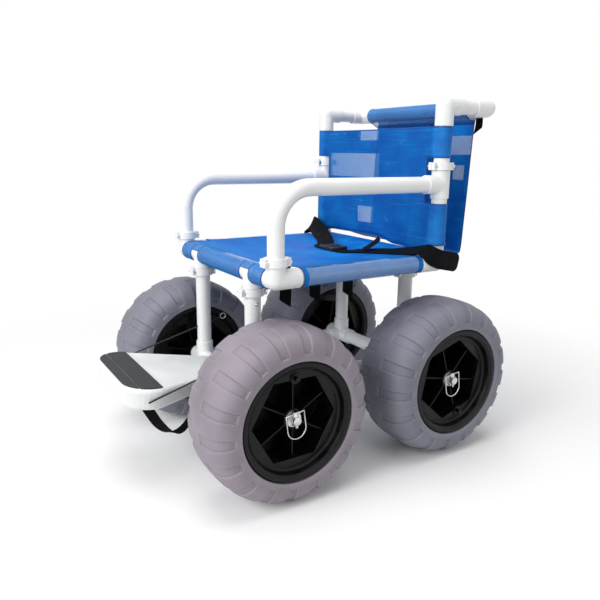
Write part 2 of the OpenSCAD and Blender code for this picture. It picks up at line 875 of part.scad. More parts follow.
// Slack webbing loop below the board
module footrest_pull_strap() {
    start_z = board_low_z - 2 * socket_gap;
    end_y = -pull_strap_end_shares[1] * board_l;
    points = concat(
        [for (p = pull_strap_shares)
            [p[0] * board_front_w / 2, -p[1] * board_l, start_z - p[2] * pull_strap_drop]],
        [[pull_strap_end_shares[0] * board_front_w / 2, end_y, board_under(end_y) - 3 * socket_gap]]);
    route = [for (i = [0:len(points) - 1])
        [points[i], [cos(pull_strap_turns[i]), sin(pull_strap_turns[i]), 0]]];
    color(webbing) at_footrest() ribbon(route, pull_strap_w, web_strap_t);
}

module footrest_cords() {
    color(webbing) both_sides() cord(cord_route, cord_d, cord_sides);
}

module cord_rings() {
    aim = heading(cord_route, cord_last);
    middle = cord_route[cord_last] + (ring_r + ring_wire_d / 2 + face_gap) * aim;
    color(steel) both_sides() translate(middle) along(0)
        rotate_extrude() translate([ring_r, 0]) circle(d = ring_wire_d);
}

// Slings

// Arc of cloth across the chair in the XY plane: it hangs by sag below its ends at y = 0
module sling_arc(half, sag, t) {
    r = (half * half + sag * sag) / (2 * sag);
    intersection() {
        translate([0, r - sag]) difference() {
            circle(r = r, $fn = 240);
            circle(r = r - t, $fn = 240);
        }
        translate([-half, -sag - t]) square([2 * half, sag + 2 * t]);
    }
}

// Room round a front tee that the front sleeve leaves open
module tee_notch() {
    reach = front_sleeve_r + 2 * cloth_t;
    translate([leg_x - tee_notch_half, front_y - reach, seat_z - reach])
        cube([2 * tee_notch_half, 2 * reach, reach + tee_notch_z]);
}

// Room round a corner of the seat between two places along Y
module corner_room(from_y, to_y) {
    translate([front_sleeve_half, from_y, seat_z - fit_d])
        cube([fit_d + corner_arm_x, to_y - from_y, 2 * fit_d]);
}

module seat_sling() {
    sleeve_y = front_y + corner_arm_y + seat_sleeve_front;
    sleeve_l = wheelbase - 2 * corner_arm_y - seat_sleeve_front - seat_sleeve_rear;
    panel_l = wheelbase - fit_d / 2 - seat_rear_gap;
    color(mesh_blue) difference() {
        union() {
            translate([0, front_y + panel_l, panel_z]) rotate([90, 0, 0])
                linear_extrude(panel_l) sling_arc(side_x, seat_sag, cloth_t);
            both_sides() bar([side_x, sleeve_y, seat_z], 1, sleeve_l, 2 * (side_sleeve_r + cloth_t));
            bar([-front_sleeve_half, front_y, seat_z], 0, 2 * front_sleeve_half,
                2 * (front_sleeve_r + cloth_t));
        }
        both_sides() {
            bar([side_x, front_y, seat_z], 1, wheelbase, 2 * side_sleeve_r);
            tee_notch();
            corner_room(front_y - fit_d, sleeve_y);
            corner_room(sleeve_y + sleeve_l, rear_y);
        }
        bar([-side_x, front_y, seat_z], 0, seat_w, 2 * front_sleeve_r);
    }
}

module back_sling() {
    height = back_top_z - back_bottom_z;
    front = rear_y - side_sleeve_r;
    notch_low = arm_z - arm_tee_half - back_notch_low_gap;
    notch_top = arm_z + arm_tee_half + play + collar_h + back_notch_top_gap;
    color(mesh_blue) difference() {
        union() {
            translate([0, front, back_bottom_z]) mirror([0, 1, 0])
                linear_extrude(height) sling_arc(side_x, back_sag, cloth_t);
            both_sides() bar([side_x, rear_y, back_bottom_z], 2, height, 2 * (side_sleeve_r + cloth_t));
        }
        both_sides() {
            bar([side_x, rear_y, back_bottom_z - cut], 2, height + 2 * cut, 2 * side_sleeve_r);
            translate([side_x - back_notch_in, rear_y - 2 * fit_d, notch_low])
                cube([2 * back_notch_in, 4 * fit_d, notch_top - notch_low]);
        }
    }
}

// Line of the pouch's cloth in the YZ plane: round the bar, down the back and forward to the sling
seam = [bar_y + pouch_seam_back, handle_z - pouch_seam_drop];
pouch_edge_y = rear_y - side_sleeve_r + back_sag + face_gap + cloth_t / 2;
function loop_r(w) = pouch_loop_r + pouch_slack * pow(cos(w), 2);
pouch_line = concat(
    [[seam.x - 2 * cloth_t, seam.y]],
    [for (i = [0:loop_steps]) let (w = loop_turn * (1 - i / loop_steps))
        [bar_y + loop_r(w) * cos(w), handle_z + loop_r(w) * sin(w)]],
    [seam,
     [seam.x - pouch_lean / 2, (handle_z + pouch_bottom_z) / 2],
     [seam.x - pouch_lean, pouch_bottom_z + pouch_corner],
     [seam.x - pouch_lean - pouch_corner, pouch_bottom_z],
     [pouch_edge_y + pouch_corner, pouch_bottom_z + pouch_floor_rise],
     [pouch_edge_y, back_bottom_z],
     [pouch_edge_y, back_bottom_z + pouch_hem]]);

// Points of a line moved sideways by a distance
function shifted(line, by) =
    [for (i = [0:len(line) - 1]) let (t = heading(line, i)) line[i] + by * [-t.y, t.x]];

module rear_pouch() {
    inner = shifted(pouch_line, -cloth_t / 2);
    color(mesh_blue) translate([-pouch_w / 2, 0, 0]) rotate([90, 0, 90]) linear_extrude(pouch_w)
        polygon(concat(shifted(pouch_line, cloth_t / 2),
                       [for (i = [len(inner) - 1:-1:0]) inner[i]]));
}

// Straps, belt and buckle

module under_seat_straps() {
    top = panel_z - web_strap_t - face_gap;
    reach = side_x - side_sleeve_r - 2 * cloth_t;
    tail_tip_z = seat_z - tail_drop;
    tail_top = top - seat_sag + web_strap_t / 2;
    color(webbing) for (share = strap_at_shares)
        translate([0, front_y + share * wheelbase + strap_w / 2, 0]) {
            translate([0, 0, top]) rotate([90, 0, 0]) linear_extrude(strap_w) intersection() {
                sling_arc(side_x, seat_sag, web_strap_t);
                translate([-reach, -seat_w]) square([2 * reach, 2 * seat_w]);
            }
            translate([tail_x - tail_t / 2, -strap_w, tail_tip_z])
                cube([tail_t, strap_w, tail_top - tail_tip_z]);
        }
}

// Height of the seat's cloth at a distance from the middle
function seat_top(x) = panel_z + cloth_t - seat_sag * (1 - pow(x / side_x, 2));

// Point of the belt over the seat's cloth
function belt_over(x, y_share) = [x, front_y + y_share * wheelbase, seat_top(x) + belt_lift];

// Point of the belt round the side rail at an angle above level
function belt_round(angle) =
    [side_x + belt_wrap_r * cos(angle), front_y + belt_side_share * wheelbase,
     seat_z + belt_wrap_r * sin(angle)];

// Two halves of the belt, each from the buckle to its end outside a side rail
module seat_belt() {
    route = concat(
        [for (x = [buckle_l / 2 + 4 * face_gap, (buckle_l + belt_w) / 2])
            [belt_over(x, belt_buckle_share), [0, 1, 0]]],
        [for (s = belt_shares) [belt_over(s[0] * side_x, s[1]), [0, 1, 0]]],
        [for (angle = belt_top_angles) [belt_round(angle), [0, 1, 0]]],
        [for (d = belt_drape) [belt_round(d[0]) + [d[3], d[1], -d[2]], [0, 1, d[4]]]]);
    color(webbing) both_sides() ribbon(route, belt_w, belt_t);
}

module belt_buckle() {
    color(rim_black) translate(belt_over(0, belt_buckle_share) - [0, 0, belt_t / 2])
        for (s = [-1, 1]) linear_extrude(buckle_t)
            translate([s * (buckle_l / 4 + face_gap), 0]) offset(r = buckle_corner_r) square(
                [buckle_l / 2 - 2 * buckle_corner_r, buckle_w - 2 * buckle_corner_r], center = true);
}

// Drawing
FL = [front_y, 1];
FR = [front_y, -1];
RL = [rear_y, 1];
RR = [rear_y, -1];
turns = [150, -75, -12, -40];

tyre(FL[0], FL[1], turns[0]);  // front_left_tyre
rim(FL[0], FL[1], turns[0]);  // front_left_rim
bushes(FL[0], FL[1]);  // front_left_bushes
valve(FL[0], FL[1], turns[0]);  // front_left_valve
tyre(FR[0], FR[1], turns[1]);  // front_right_tyre
rim(FR[0], FR[1], turns[1]);  // front_right_rim
bushes(FR[0], FR[1]);  // front_right_bushes
valve(FR[0], FR[1], turns[1]);  // front_right_valve
tyre(RL[0], RL[1], turns[2]);  // rear_left_tyre
rim(RL[0], RL[1], turns[2]);  // rear_left_rim
bushes(RL[0], RL[1]);  // rear_left_bushes
valve(RL[0], RL[1], turns[2]);  // rear_left_valve
tyre(RR[0], RR[1], turns[3]);  // rear_right_tyre
rim(RR[0], RR[1], turns[3]);  // rear_right_rim
bushes(RR[0], RR[1]);  // rear_right_bushes
valve(RR[0], RR[1], turns[3]);  // rear_right_valve
bail(FL[0], FL[1]);  // front_left_bail
bail(FR[0], FR[1]);  // front_right_bail
bail(RL[0], RL[1]);  // rear_left_bail
bail(RR[0], RR[1]);  // rear_right_bail
snap_button(1);  // left_snap_button
snap_button(-1);  // right_snap_button
armrest_tube(1);  // left_armrest_tube
armrest_tee(1);  // left_armrest_tee
foot_collar(1);  // left_foot_collar
armrest_tube(-1);  // right_armrest_tube
armrest_tee(-1);  // right_armrest_tee
foot_collar(-1);  // right_foot_collar
footrest_board();
footrest_pads();
footrest_clips();
footrest_pull_strap();
seat_rails();
seat_corners();
leg_tees();
legs();
leg_spigots();
button_springs();
axle_crosses();
axle_tubes();
lower_side_rails();
axles();
axle_reducers();
axle_washers();
lock_pins();
back_posts();
handle_elbows();
handle_side_tubes();
push_bar();
clamp_collars();
collar_bolts();
seat_sling();
back_sling();
rear_pouch();
seat_belt();
belt_buckle();
under_seat_straps();
footrest_cords();
cord_rings();
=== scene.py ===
# %% [markdown]
# # A beach wheelchair in Blender
# Four balloon tyres carry a chair of white plastic tube over soft sand. The tubes, fittings and
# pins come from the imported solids, which are the fixed frame. This lesson adds what solids show
# badly: moulded tread, open mesh cloth, webbing, cords, and a finish for every surface.

import json
import math

import bmesh
import bpy
from mathutils import Matrix, Vector


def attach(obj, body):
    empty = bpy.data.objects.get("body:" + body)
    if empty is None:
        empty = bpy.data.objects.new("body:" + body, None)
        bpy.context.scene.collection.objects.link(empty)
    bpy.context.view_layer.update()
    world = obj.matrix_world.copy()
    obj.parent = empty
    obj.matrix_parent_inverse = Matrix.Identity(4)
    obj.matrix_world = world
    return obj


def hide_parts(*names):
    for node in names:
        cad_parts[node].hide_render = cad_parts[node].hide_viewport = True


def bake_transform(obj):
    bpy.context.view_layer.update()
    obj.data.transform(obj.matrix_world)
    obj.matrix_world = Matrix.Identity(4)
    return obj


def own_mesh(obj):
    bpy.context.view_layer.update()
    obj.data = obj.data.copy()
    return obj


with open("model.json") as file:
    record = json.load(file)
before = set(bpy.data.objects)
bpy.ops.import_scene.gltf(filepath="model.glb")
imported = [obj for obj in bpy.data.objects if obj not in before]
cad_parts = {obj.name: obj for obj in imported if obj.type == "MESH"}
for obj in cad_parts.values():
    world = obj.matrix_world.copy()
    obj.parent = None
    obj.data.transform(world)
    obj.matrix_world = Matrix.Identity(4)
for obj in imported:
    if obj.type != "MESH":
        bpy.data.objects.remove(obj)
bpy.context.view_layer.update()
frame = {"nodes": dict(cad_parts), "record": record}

# %% [markdown]
# ## The camera
# The photograph's viewpoint was found from the chair's own edges: a camera in front of the chair
# on the occupant's left, a little above the armrests, with a slight roll. Its three axes are
# worked out from those angles and become the columns of the camera's matrix.

# %% Camera at the photograph's viewpoint
turn, tilt, roll = (math.radians(a) for a in (57.633, 13.631, 0.716))
behind = Vector((math.sin(turn) * math.cos(tilt), -math.cos(turn) * math.cos(tilt),
                 math.sin(tilt)))
level = Vector((0, 0, 1)).cross(behind).normalized()
above = behind.cross(level)
right = math.cos(roll) * level + math.sin(roll) * above
up = math.cos(roll) * above - math.sin(roll) * level
camera = bpy.data.objects.new("camera", bpy.data.cameras.new("camera"))
camera.data.lens, camera.data.sensor_width = 36.36, 36
camera.matrix_world = Matrix((right, up, behind)).transposed().to_4x4()
camera.location = (1.41787, -0.857762, 0.79245)
bpy.context.collection.objects.link(camera)
bpy.context.scene.camera = camera
print("camera at", tuple(camera.location))

# %% [markdown]
# ## Sizes that many pieces share
# The solids are drawn in millimetres and Blender works in metres, so one helper turns a drawn
# point into a Blender one. The places below are those of the drawing.

# %% Places of the chair, in millimetres
FRONT_Y, REAR_Y = -190.292, 299.708
SIDE_X, LEG_X, WHEEL_X = 262, 150, 281
SEAT_Z, HANDLE_Z, AXLE_Z = 514, 913, 210
BAR_Y = REAR_Y + 150
WHEELBASE = REAR_Y - FRONT_Y


def at(x, y, z):
    """A point drawn in millimetres, in metres."""
    return Vector((x, y, z)) / 1000


print("wheelbase", round(WHEELBASE), "mm, seat rails", 2 * SIDE_X, "mm apart")

# %% [markdown]
# ## Long bendy things
# Cords, belts and straps are one outline carried along a route. An outline could be a curve's
# bevel, but a mesh lets the belt keep its flat side up, so each route becomes a row of turned
# frames, one at every point of a smooth line.

# %% Routes
def curve_through(points, steps):
    """Smooth line through the points, with so many steps between each two."""
    line, last = [], len(points) - 1
    for i in range(last):
        a, b, c, d = (points[max(0, min(last, k))] for k in (i - 1, i, i + 1, i + 2))
        for k in range(steps):
            t = k / steps
            line.append((2 * b + (c - a) * t + (2 * a - 5 * b + 4 * c - d) * t ** 2
                         + (3 * b - a - 3 * c + d) * t ** 3) / 2)
    return line + [points[-1]]


def frames_along(points, widths):
    """A turned frame at each point: Z runs along the route and X along the width."""
    frames = []
    for i, point in enumerate(points):
        ahead = (points[min(i + 1, len(points) - 1)] - points[max(i - 1, 0)]).normalized()
        wide = widths[i] if isinstance(widths, list) else widths
        across = (wide - ahead * wide.dot(ahead)).normalized()
        frames.append(Matrix.Translation(point)
                      @ Matrix((across, ahead.cross(across), ahead)).transposed().to_4x4())
    return frames


print("routes ready")

# %% [markdown]
# The outline's edges are extruded from one frame to the next. An extrusion hands back its sides
# too, so one helper keeps only the new rim. Cloth and webbing also carry each point's place in
# their flat cut, which becomes a UV map, so that a weave follows the cloth.

# %% Sweeps and finished pieces
MERGE = 2e-5


def grow(bm, edges):
    """Extrudes edges and returns the points and the edges of the new rim."""
    grown = bmesh.ops.extrude_edge_only(bm, edges=edges)["geom"]
    verts = [g for g in grown if isinstance(g, bmesh.types.BMVert)]
    rim = set(verts)
    return verts, [g for g in grown
                   if isinstance(g, bmesh.types.BMEdge) and rim.issuperset(g.verts)]


def sweep(bm, edges, frames, flat=None):
    """Extrudes edges drawn at the first frame through all the others."""
    length = 0
    for before, after in zip(frames, frames[1:]):
        verts, edges = grow(bm, edges)
        bmesh.ops.transform(bm, matrix=after @ before.inverted(), verts=verts)
        length += (after.translation - before.translation).length
        if flat:
            for v in verts:
                v[flat].y = length


def set_uv(bm, flat):
    """Lays the cloth's flat cut, in metres, into a UV map."""
    uv = bm.loops.layers.uv.new("cut")
    for face in bm.faces:
        for corner in face.loops:
            corner[uv].uv = corner.vert[flat][:2]


def piece_from(bm, name, sharp=35):
    """Ends a bmesh as an object at the origin, smooth but for its sharp edges."""
    bmesh.ops.remove_doubles(bm, verts=bm.verts, dist=MERGE)
    bmesh.ops.recalc_face_normals(bm, faces=bm.faces)
    mesh = bpy.data.meshes.new(name)
    bm.to_mesh(mesh)
    bm.free()
    mesh.polygons.foreach_set("use_smooth", [True] * len(mesh.polygons))
    mesh.set_sharp_from_angle(angle=math.radians(sharp))
    piece = bpy.data.objects.new(name, mesh)
    bpy.context.collection.objects.link(piece)
    print(name, len(mesh.polygons), "faces")
    return piece


print("sweeps ready")

# %% [markdown]
# ## The footrest's two cords
# A black cord on each side holds the footrest's front end. It is 4 mm thick, leaves a steel ring
# behind the front leg, runs taut, and goes into a hole in the board's side. Its points repeat the
# drawn route. Folding the board slackens it, but these cords stay taut as drawn.

# %% Two taut cords
CORD_D = 4
cord_points = [(6, -270, 27), (5.5, -250, 32.5), (4.5, -205, 44.8), (3.5, -160, 57.1),
               (2.5, -110, 70.7), (1.5, -60, 84.4), (1, -30, 92.6), (0.5, 5, 102.2),
               (0, 30, 109), (0, 50, 114.5)]
cords = []
for side, name in ((1, "left_footrest_cord"), (-1, "right_footrest_cord")):
    drawn = [at(side * (LEG_X + x), FRONT_Y + y, AXLE_Z + z) for x, y, z in reversed(cord_points)]
    route = curve_through(drawn, 3)
    frames = frames_along(route, Vector((1, 0, 0)))
    bm = bmesh.new()
    bmesh.ops.create_circle(bm, segments=10, radius=CORD_D / 2000, matrix=frames[0])
    sweep(bm, bm.edges[:], frames)
    bmesh.ops.holes_fill(bm, edges=bm.edges)
    cord = piece_from(bm, name, sharp=60)
    length = sum((b - a).length for a, b in zip(route, route[1:]))
    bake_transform(cord)
    cords.append(cord)
    print(name, round(length * 1000), "mm long")
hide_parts("footrest_cords")

# %% [markdown]
# ## Shader sums that read like maths
# A finish is mostly arithmetic on a position: stripes, speckles, holes. Nodes for every plus and
# minus are hard to read, so one small class wraps a socket and turns Python's own signs into
# nodes. Its single node-making method takes the type, its settings and what goes in its sockets.

# %% A socket with Python's signs
class Wire:
    def __init__(self, tree, socket=None):
        self.tree, self.socket = tree, socket

    def node(self, kind, settings=(), out=0, **sockets):
        """Adds a node. A socket is named by its label, or by n and its number."""
        made = self.tree.nodes.new("ShaderNode" + kind)
        for key, value in dict(settings).items():
            setattr(made, key, value)
        for key, value in sockets.items():
            place = made.inputs[int(key[1:]) if key[1:].isdigit() else key.replace("_", " ")]
            if isinstance(value, Wire):
                self.tree.links.new(value.socket, place)
            else:
                place.default_value = value
        return Wire(self.tree, made.outputs[out])

    def sum(self, operation, a, b=0.0):
        return self.node("Math", {"operation": operation}, n0=a, n1=b)

    def __add__(self, other): return self.sum("ADD", self, other)
    def __sub__(self, other): return self.sum("SUBTRACT", self, other)
    def __rsub__(self, other): return self.sum("SUBTRACT", other, self)
    def __mul__(self, other): return self.sum("MULTIPLY", self, other)
    def __truediv__(self, other): return self.sum("DIVIDE", self, other)
    def __pow__(self, other): return self.sum("POWER", self, other)
    def __lt__(self, other): return self.sum("LESS_THAN", self, other)
    def __abs__(self): return self.sum("ABSOLUTE", self)
    def fract(self): return self.sum("FRACT", self)
    def sine(self): return self.sum("SINE", self)
    def high(self, other): return self.sum("MAXIMUM", self, other)

    def ramp(self, low, high, to_low=0.0, to_high=1.0):
        """Smooth step from one number to another as the value goes from low to high."""
        return self.node("MapRange", {"interpolation_type": "SMOOTHSTEP"}, Value=self,
                         From_Min=low, From_Max=high, To_Min=to_low, To_Max=to_high)

    def blend(self, a, b):
        """Colour a where the value is 0 and b where it is 1."""
        return self.node("Mix", {"data_type": "RGBA"}, out=2, n0=self, n6=a, n7=b)

    def noise(self, scale, detail=3.0, stretch=(1, 1, 1)):
        """Cloudy noise from 0 to 1 at this position, stretched along an axis."""
        where = self.node("VectorMath", {"operation": "MULTIPLY"}, n0=self, n1=stretch)
        return self.node("TexNoise", Vector=where, Scale=scale, Detail=detail)

    def parts(self):
        """The three numbers of a position."""
        split = self.node("SeparateXYZ", Vector=self).socket.node
        return [Wire(self.tree, s) for s in split.outputs]


print("wires ready")

# %% [markdown]
# A finish is a new material that starts from the position on the object. What is the same all
# over is set on the shader's own sockets, and what varies is plugged in as a wire. Colours are
# written as a screen shows them, because a photograph is read that way.

# %% Paints and finishes
def paint(red, green, blue):
    """A colour as a screen shows it, from 0 to 255, in Blender's linear light."""
    def linear(c):
        c /= 255
        return c / 12.92 if c <= 0.04045 else ((c + 0.055) / 1.055) ** 2.4
    return (linear(red), linear(green), linear(blue), 1)


def finish(name, **fixed):
    """A new material: returns it, the position on the object in metres, and its main shader."""
    material = bpy.data.materials.new(name)
    material.use_nodes = True
    shader = material.node_tree.nodes["Principled BSDF"]
    for key, value in fixed.items():
        shader.inputs[key.replace("_", " ")].default_value = value
    return material, Wire(material.node_tree).node("TexCoord", out=3), shader


def plug(shader, **wires):
    """Joins wires to the shader's sockets."""
    for key, wire in wires.items():
        wire.tree.links.new(wire.socket, shader.inputs[key.replace("_", " ")])


def bump(height, distance, strength=1.0):
    return height.node("Bump", Height=height, Distance=distance, Strength=strength)


def coat(obj, material):
    obj.data.materials.clear()
    obj.data.materials.append(material)


print("finishes ready")

# %% [markdown]
# ## The black cord's finish
# Braided cord is dull black with a fine slanted braid. Two crossed sine waves along its length
# give the braid, and a little noise varies the black.

# %% Braided cord
braid, place, shader = finish("braided_cord", Roughness=0.75)
x, y, _ = place.parts()
strands = (y * 2600 + x * 1800).sine() * (y * 2600 - x * 1800).sine()
plug(shader, Base_Color=place.noise(400).blend(paint(16, 16, 18), paint(44, 44, 47)),
     Normal=bump(strands, 0.0004, 0.6))
for cord in cords:
    coat(cord, braid)
print("braid on", len(cords), "cords")

# %% [markdown]
# ## White tube and fittings
# The frame is white plastic tube pushed into moulded fittings. Both are satin, with a faint
# ripple from moulding and slight greying on handled places. The tubes are right as they are, so
# their solids stay and only get this finish.

# %% Satin white plastic
white, place, shader = finish("white_tube", Roughness=0.3, Coat_Weight=0.15, Coat_Roughness=0.2)
clouds = place.noise(9, 5)
specks = place.noise(260, 2)
handled = (clouds * 0.7 + specks * 0.3).ramp(0.3, 0.75)
plug(shader, Base_Color=handled.blend(paint(231, 232, 232), paint(239, 240, 240)),
     Roughness=clouds.ramp(0.3, 0.7, 0.24, 0.4),
     Normal=bump(clouds * 0.6 + specks * 0.05, 0.0012, 0.25))
tubes = ("seat_rails", "legs", "leg_spigots", "axle_tubes", "lower_side_rails", "back_posts",
         "push_bar", "handle_side_tubes", "left_armrest_tube", "right_armrest_tube",
         "axle_reducers")
for node in tubes:
    coat(frame["nodes"][node], white)
print(len(tubes), "nodes of white tube")

# %% [markdown]
# The fittings have rounded mouths, which the sharp solids can't show. A merged copy of each solid
# gets a Bevel modifier and stands for it. One helper dresses a piece: its finish, the body it
# rides on, and the nodes it replaces.

# %% Fittings with rounded mouths
body_of = {n: body for body, nodes in frame["record"]["behaviour"]["bodies"].items() for n in nodes}


def soften(piece, label, width, angle, segments=2, harden=False):
    """Rounds the edges sharper than an angle. The width is in millimetres."""
    edge = piece.modifiers.new(label, "BEVEL")
    edge.width, edge.segments, edge.limit_method = width / 1000, segments, "ANGLE"
    edge.angle_limit, edge.harden_normals = math.radians(angle), harden


def dress(piece, material, body, slot, *nodes):
    """Gives a piece its finish, the body it rides on, and the nodes it replaces. The slot is not
    used.
    """
    coat(piece, material)
    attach(piece, body)
    if nodes:
        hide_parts(*nodes)


def merged_solid(node):
    """A copy of a solid's mesh with its loose triangles joined."""
    bm = bmesh.new()
    bm.from_mesh(frame["nodes"][node].data)
    bmesh.ops.remove_doubles(bm, verts=bm.verts, dist=MERGE)
    return bm


def rounded_copy(node, material, width, slot, segments=3):
    """A merged copy of a solid with rounded edges, which stands for it."""
    bm = merged_solid(node)
    bmesh.ops.dissolve_limit(bm, angle_limit=math.radians(0.6), verts=bm.verts, edges=bm.edges)
    copy = piece_from(bm, "round_" + node, sharp=30)
    soften(copy, "edges", width, 40, segments, harden=True)
    dress(copy, material, body_of[node], slot, node)


for node in ("seat_corners", "leg_tees", "axle_crosses", "handle_elbows", "clamp_collars",
             "left_armrest_tee", "right_armrest_tee", "left_foot_collar", "right_foot_collar"):
    rounded_copy(node, white, 1.6, "tube")

# %% [markdown]
# ## Steel
# Axles, washers, pins, wire loops, rings and bolts are bright steel with fine turning marks and
# small clouds of dulled finish where salt air has reached them.

# %% Bright steel
steel, place, shader = finish("bright_steel", Metallic=1.0)
marks = place.noise(900, 2, (1, 0.1, 0.1))
dull = place.noise(60, 4)
plug(shader, Base_Color=dull.ramp(0.35, 0.7).blend(paint(214, 214, 212), paint(176, 176, 175)),
     Roughness=(dull * 0.6 + marks * 0.4).ramp(0.3, 0.75, 0.2, 0.42),
     Normal=bump(marks, 0.0001, 0.3))
for node in ("axles", "axle_washers", "cord_rings", "left_snap_button", "right_snap_button",
             "front_left_bail", "front_right_bail", "rear_left_bail", "rear_right_bail"):
    coat(frame["nodes"][node], steel)
for node, width in (("lock_pins", 0.8), ("collar_bolts", 0.5)):
    rounded_copy(node, steel, width, "steel", 2)

# %% [markdown]
# A bent leaf of spring steel inside each front leg pushes its snap button out. Pressing the button
# bends the leaf. Each leaf is a copy of its own side's half of the solid, left as drawn.

# %% Leaf springs behind the snap buttons
PRESS = 4.6
for side, name in ((1, "left"), (-1, "right")):
    bm = merged_solid("button_springs")
    far_half = [v for v in bm.verts if v.co.x * side < 0]
    bmesh.ops.delete(bm, geom=far_half, context="VERTS")
    reach = [abs(v.co.x) for v in bm.verts]
    leaf = piece_from(bm, name + "_leaf_spring", sharp=30)
    dress(leaf, steel, "frame", "steel")
    side * min(reach)
    1 - PRESS / 1000 / (max(reach) - min(reach))
    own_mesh(leaf)
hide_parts("button_springs")

# %% [markdown]
# ## Balloon tyres
# A tyre is a soft balloon on a wide rim, with a ring of shallow slots moulded into each shoulder.
# A texture could fake the slots, but they break the outline. So the section is spun round the
# axle, the faces inside each slot are found by their angle, and one inset sinks them. Towards the
# crown a slot's floor rises again, and the slot fades out.

# %% Tyre section
SHOULDER_R, CROWN_R, TYRE_HALF = 143.5, 210, 93
BEAD_R, BEAD_HALF = 129.2, 82
ROUNDNESS = 2 / 3.1
SECTION = [0, 3, 6, 10, 14, 20, 28, 36, 44, 52, 60, 68, 74, 79, 83, 86, 88.5]


def tyre_point(angle):
    """A point of the tyre's section: radius and distance from the middle of its width."""
    c, s = math.cos(math.radians(angle)), math.sin(math.radians(angle))
    return (SHOULDER_R + (CROWN_R - SHOULDER_R) * abs(s) ** ROUNDNESS,
            TYRE_HALF * math.copysign(abs(c) ** ROUNDNESS, c))


def wheel_place(end_y, side, angle):
    """Puts a wheel drawn round Z, outer face up, on its axle."""
    mirrored = Matrix.Diagonal((side, 1, 1, 1))
    return (Matrix.Translation(at(side * WHEEL_X, end_y, AXLE_Z)) @ mirrored
            @ Matrix.Rotation(math.radians(90), 4, "Y")
            @ Matrix.Rotation(math.radians(angle), 4, "Z"))


def balloon():
    """The tyre before its slots are cut: a section spun round Z."""
    bm = bmesh.new()
    angles = SECTION + [90] + [180 - a for a in reversed(SECTION)]
    line = [(BEAD_R, BEAD_HALF), (SHOULDER_R, BEAD_HALF)] + [tyre_point(a) for a in angles]
    line += [(SHOULDER_R, -BEAD_HALF), (BEAD_R, -BEAD_HALF)]
    drawn = [bm.verts.new((r / 1000, 0, w / 1000)) for r, w in line]
    edges = [bm.edges.new(pair) for pair in zip(drawn, drawn[1:])]
    bmesh.ops.spin(bm, geom=drawn + edges, cent=(0, 0, 0), axis=(0, 0, 1), angle=math.tau,
                   steps=360, use_merge=True)
    bmesh.ops.recalc_face_normals(bm, faces=bm.faces)
    return bm


print("tyre", 2 * CROWN_R, "mm high and", 2 * TYRE_HALF, "mm wide")

# %% Slots in a tyre
SLOTS, SLOT_ANGLE, SLOT_DEPTH, SLOT_WALL = 18, 8, 4, 2.2
SLOT_LOW, SLOT_HIGH, SLOT_R = tyre_point(6)[1], tyre_point(86)[1], 146
CROWN_RISE, RISE_FROM, RISE_TO = 2, 78, 18


def tyre_mesh():
    bm = balloon()
    slots = {}
    for face in bm.faces:
        middle = face.calc_center_median() * 1000
        side = 1 if middle.z > 0 else -1
        angle = math.degrees(math.atan2(middle.y, middle.x)) + (0 if side > 0 else 180 / SLOTS)
        share = angle * SLOTS / 360
        number = math.floor(share)
        inside = (share - number) * 360 / SLOTS < SLOT_ANGLE
        if inside and SLOT_HIGH < abs(middle.z) < SLOT_LOW and middle.xy.length > SLOT_R:
            slots.setdefault((side, number % SLOTS), []).append(face)
    for faces in slots.values():
        bmesh.ops.inset_region(bm, faces=faces, thickness=SLOT_WALL / 1000,
                               depth=-SLOT_DEPTH / 1000, use_even_offset=True)
        for v in {v for f in faces for v in f.verts}:
            near_crown = (RISE_FROM - abs(v.co.z) * 1000) / (RISE_FROM - RISE_TO)
            v.co.xy += v.co.xy.normalized() * CROWN_RISE / 1000 * max(0.0, min(1.0, near_crown))
    return bm


print(2 * SLOTS, "slots in a tyre")

# %% [markdown]
# The tyres are soft grey plastic. The near front one is painted pinker and paler than the other
# three: painted light. Hollow places get painted shade, and edges a painted highlight.

# %% Grey tyre plastic on four wheels
def tyre_finish(name, pale, deep):
    material, place, shader = finish(name, Roughness=0.62)
    clouds = place.noise(11, 6)
    grains = place.noise(700, 2)
    # Pointiness paints shade into hollows and a highlight along edges.
    wear_and_painted_light = place.node("NewGeometry", out=7).ramp(0.46, 0.54)
    tone = (clouds * 0.7 + wear_and_painted_light * 0.3).ramp(0.25, 0.75)
    plug(shader, Base_Color=tone.blend(deep, pale), Roughness=clouds.ramp(0.3, 0.7, 0.5, 0.72),
         Normal=bump(grains * 0.4 + clouds, 0.0006, 0.35))
    return material


# The near front tyre's pinker, paler finish is painted light: a lit copy of the grey finish.
lit_pinkish = tyre_finish("tyre_lit_pinkish_grey", paint(141, 133, 143), paint(115, 107, 115))
bluish = tyre_finish("tyre_bluish_grey", paint(124, 125, 137), paint(95, 96, 107))
wheels = {"front_left": (FRONT_Y, 1, 150), "front_right": (FRONT_Y, -1, -75),
          "rear_left": (REAR_Y, 1, -12), "rear_right": (REAR_Y, -1, -40)}
for name, spot in wheels.items():
    bm = tyre_mesh()
    bmesh.ops.transform(bm, matrix=wheel_place(*spot), verts=bm.verts)
    tyre = piece_from(bm, name + "_slotted_tyre", sharp=180)
    soften(tyre, "soft slot edges", 0.9, 35)
    dress(tyre, lit_pinkish if name == "front_left" else bluish, name + "_wheel", "tyre",
          name + "_tyre")

# %% [markdown]
# ## Black rims
# Each rim is a moulding with a wide flange, a dished face and a six-sided pocket crossed by six
# thin ribs. A lathe can't make the pocket. So one ring of edges is extruded from the pocket's floor
# out over the flange, across the barrel and in to the other floor, round or six-sided as needed.

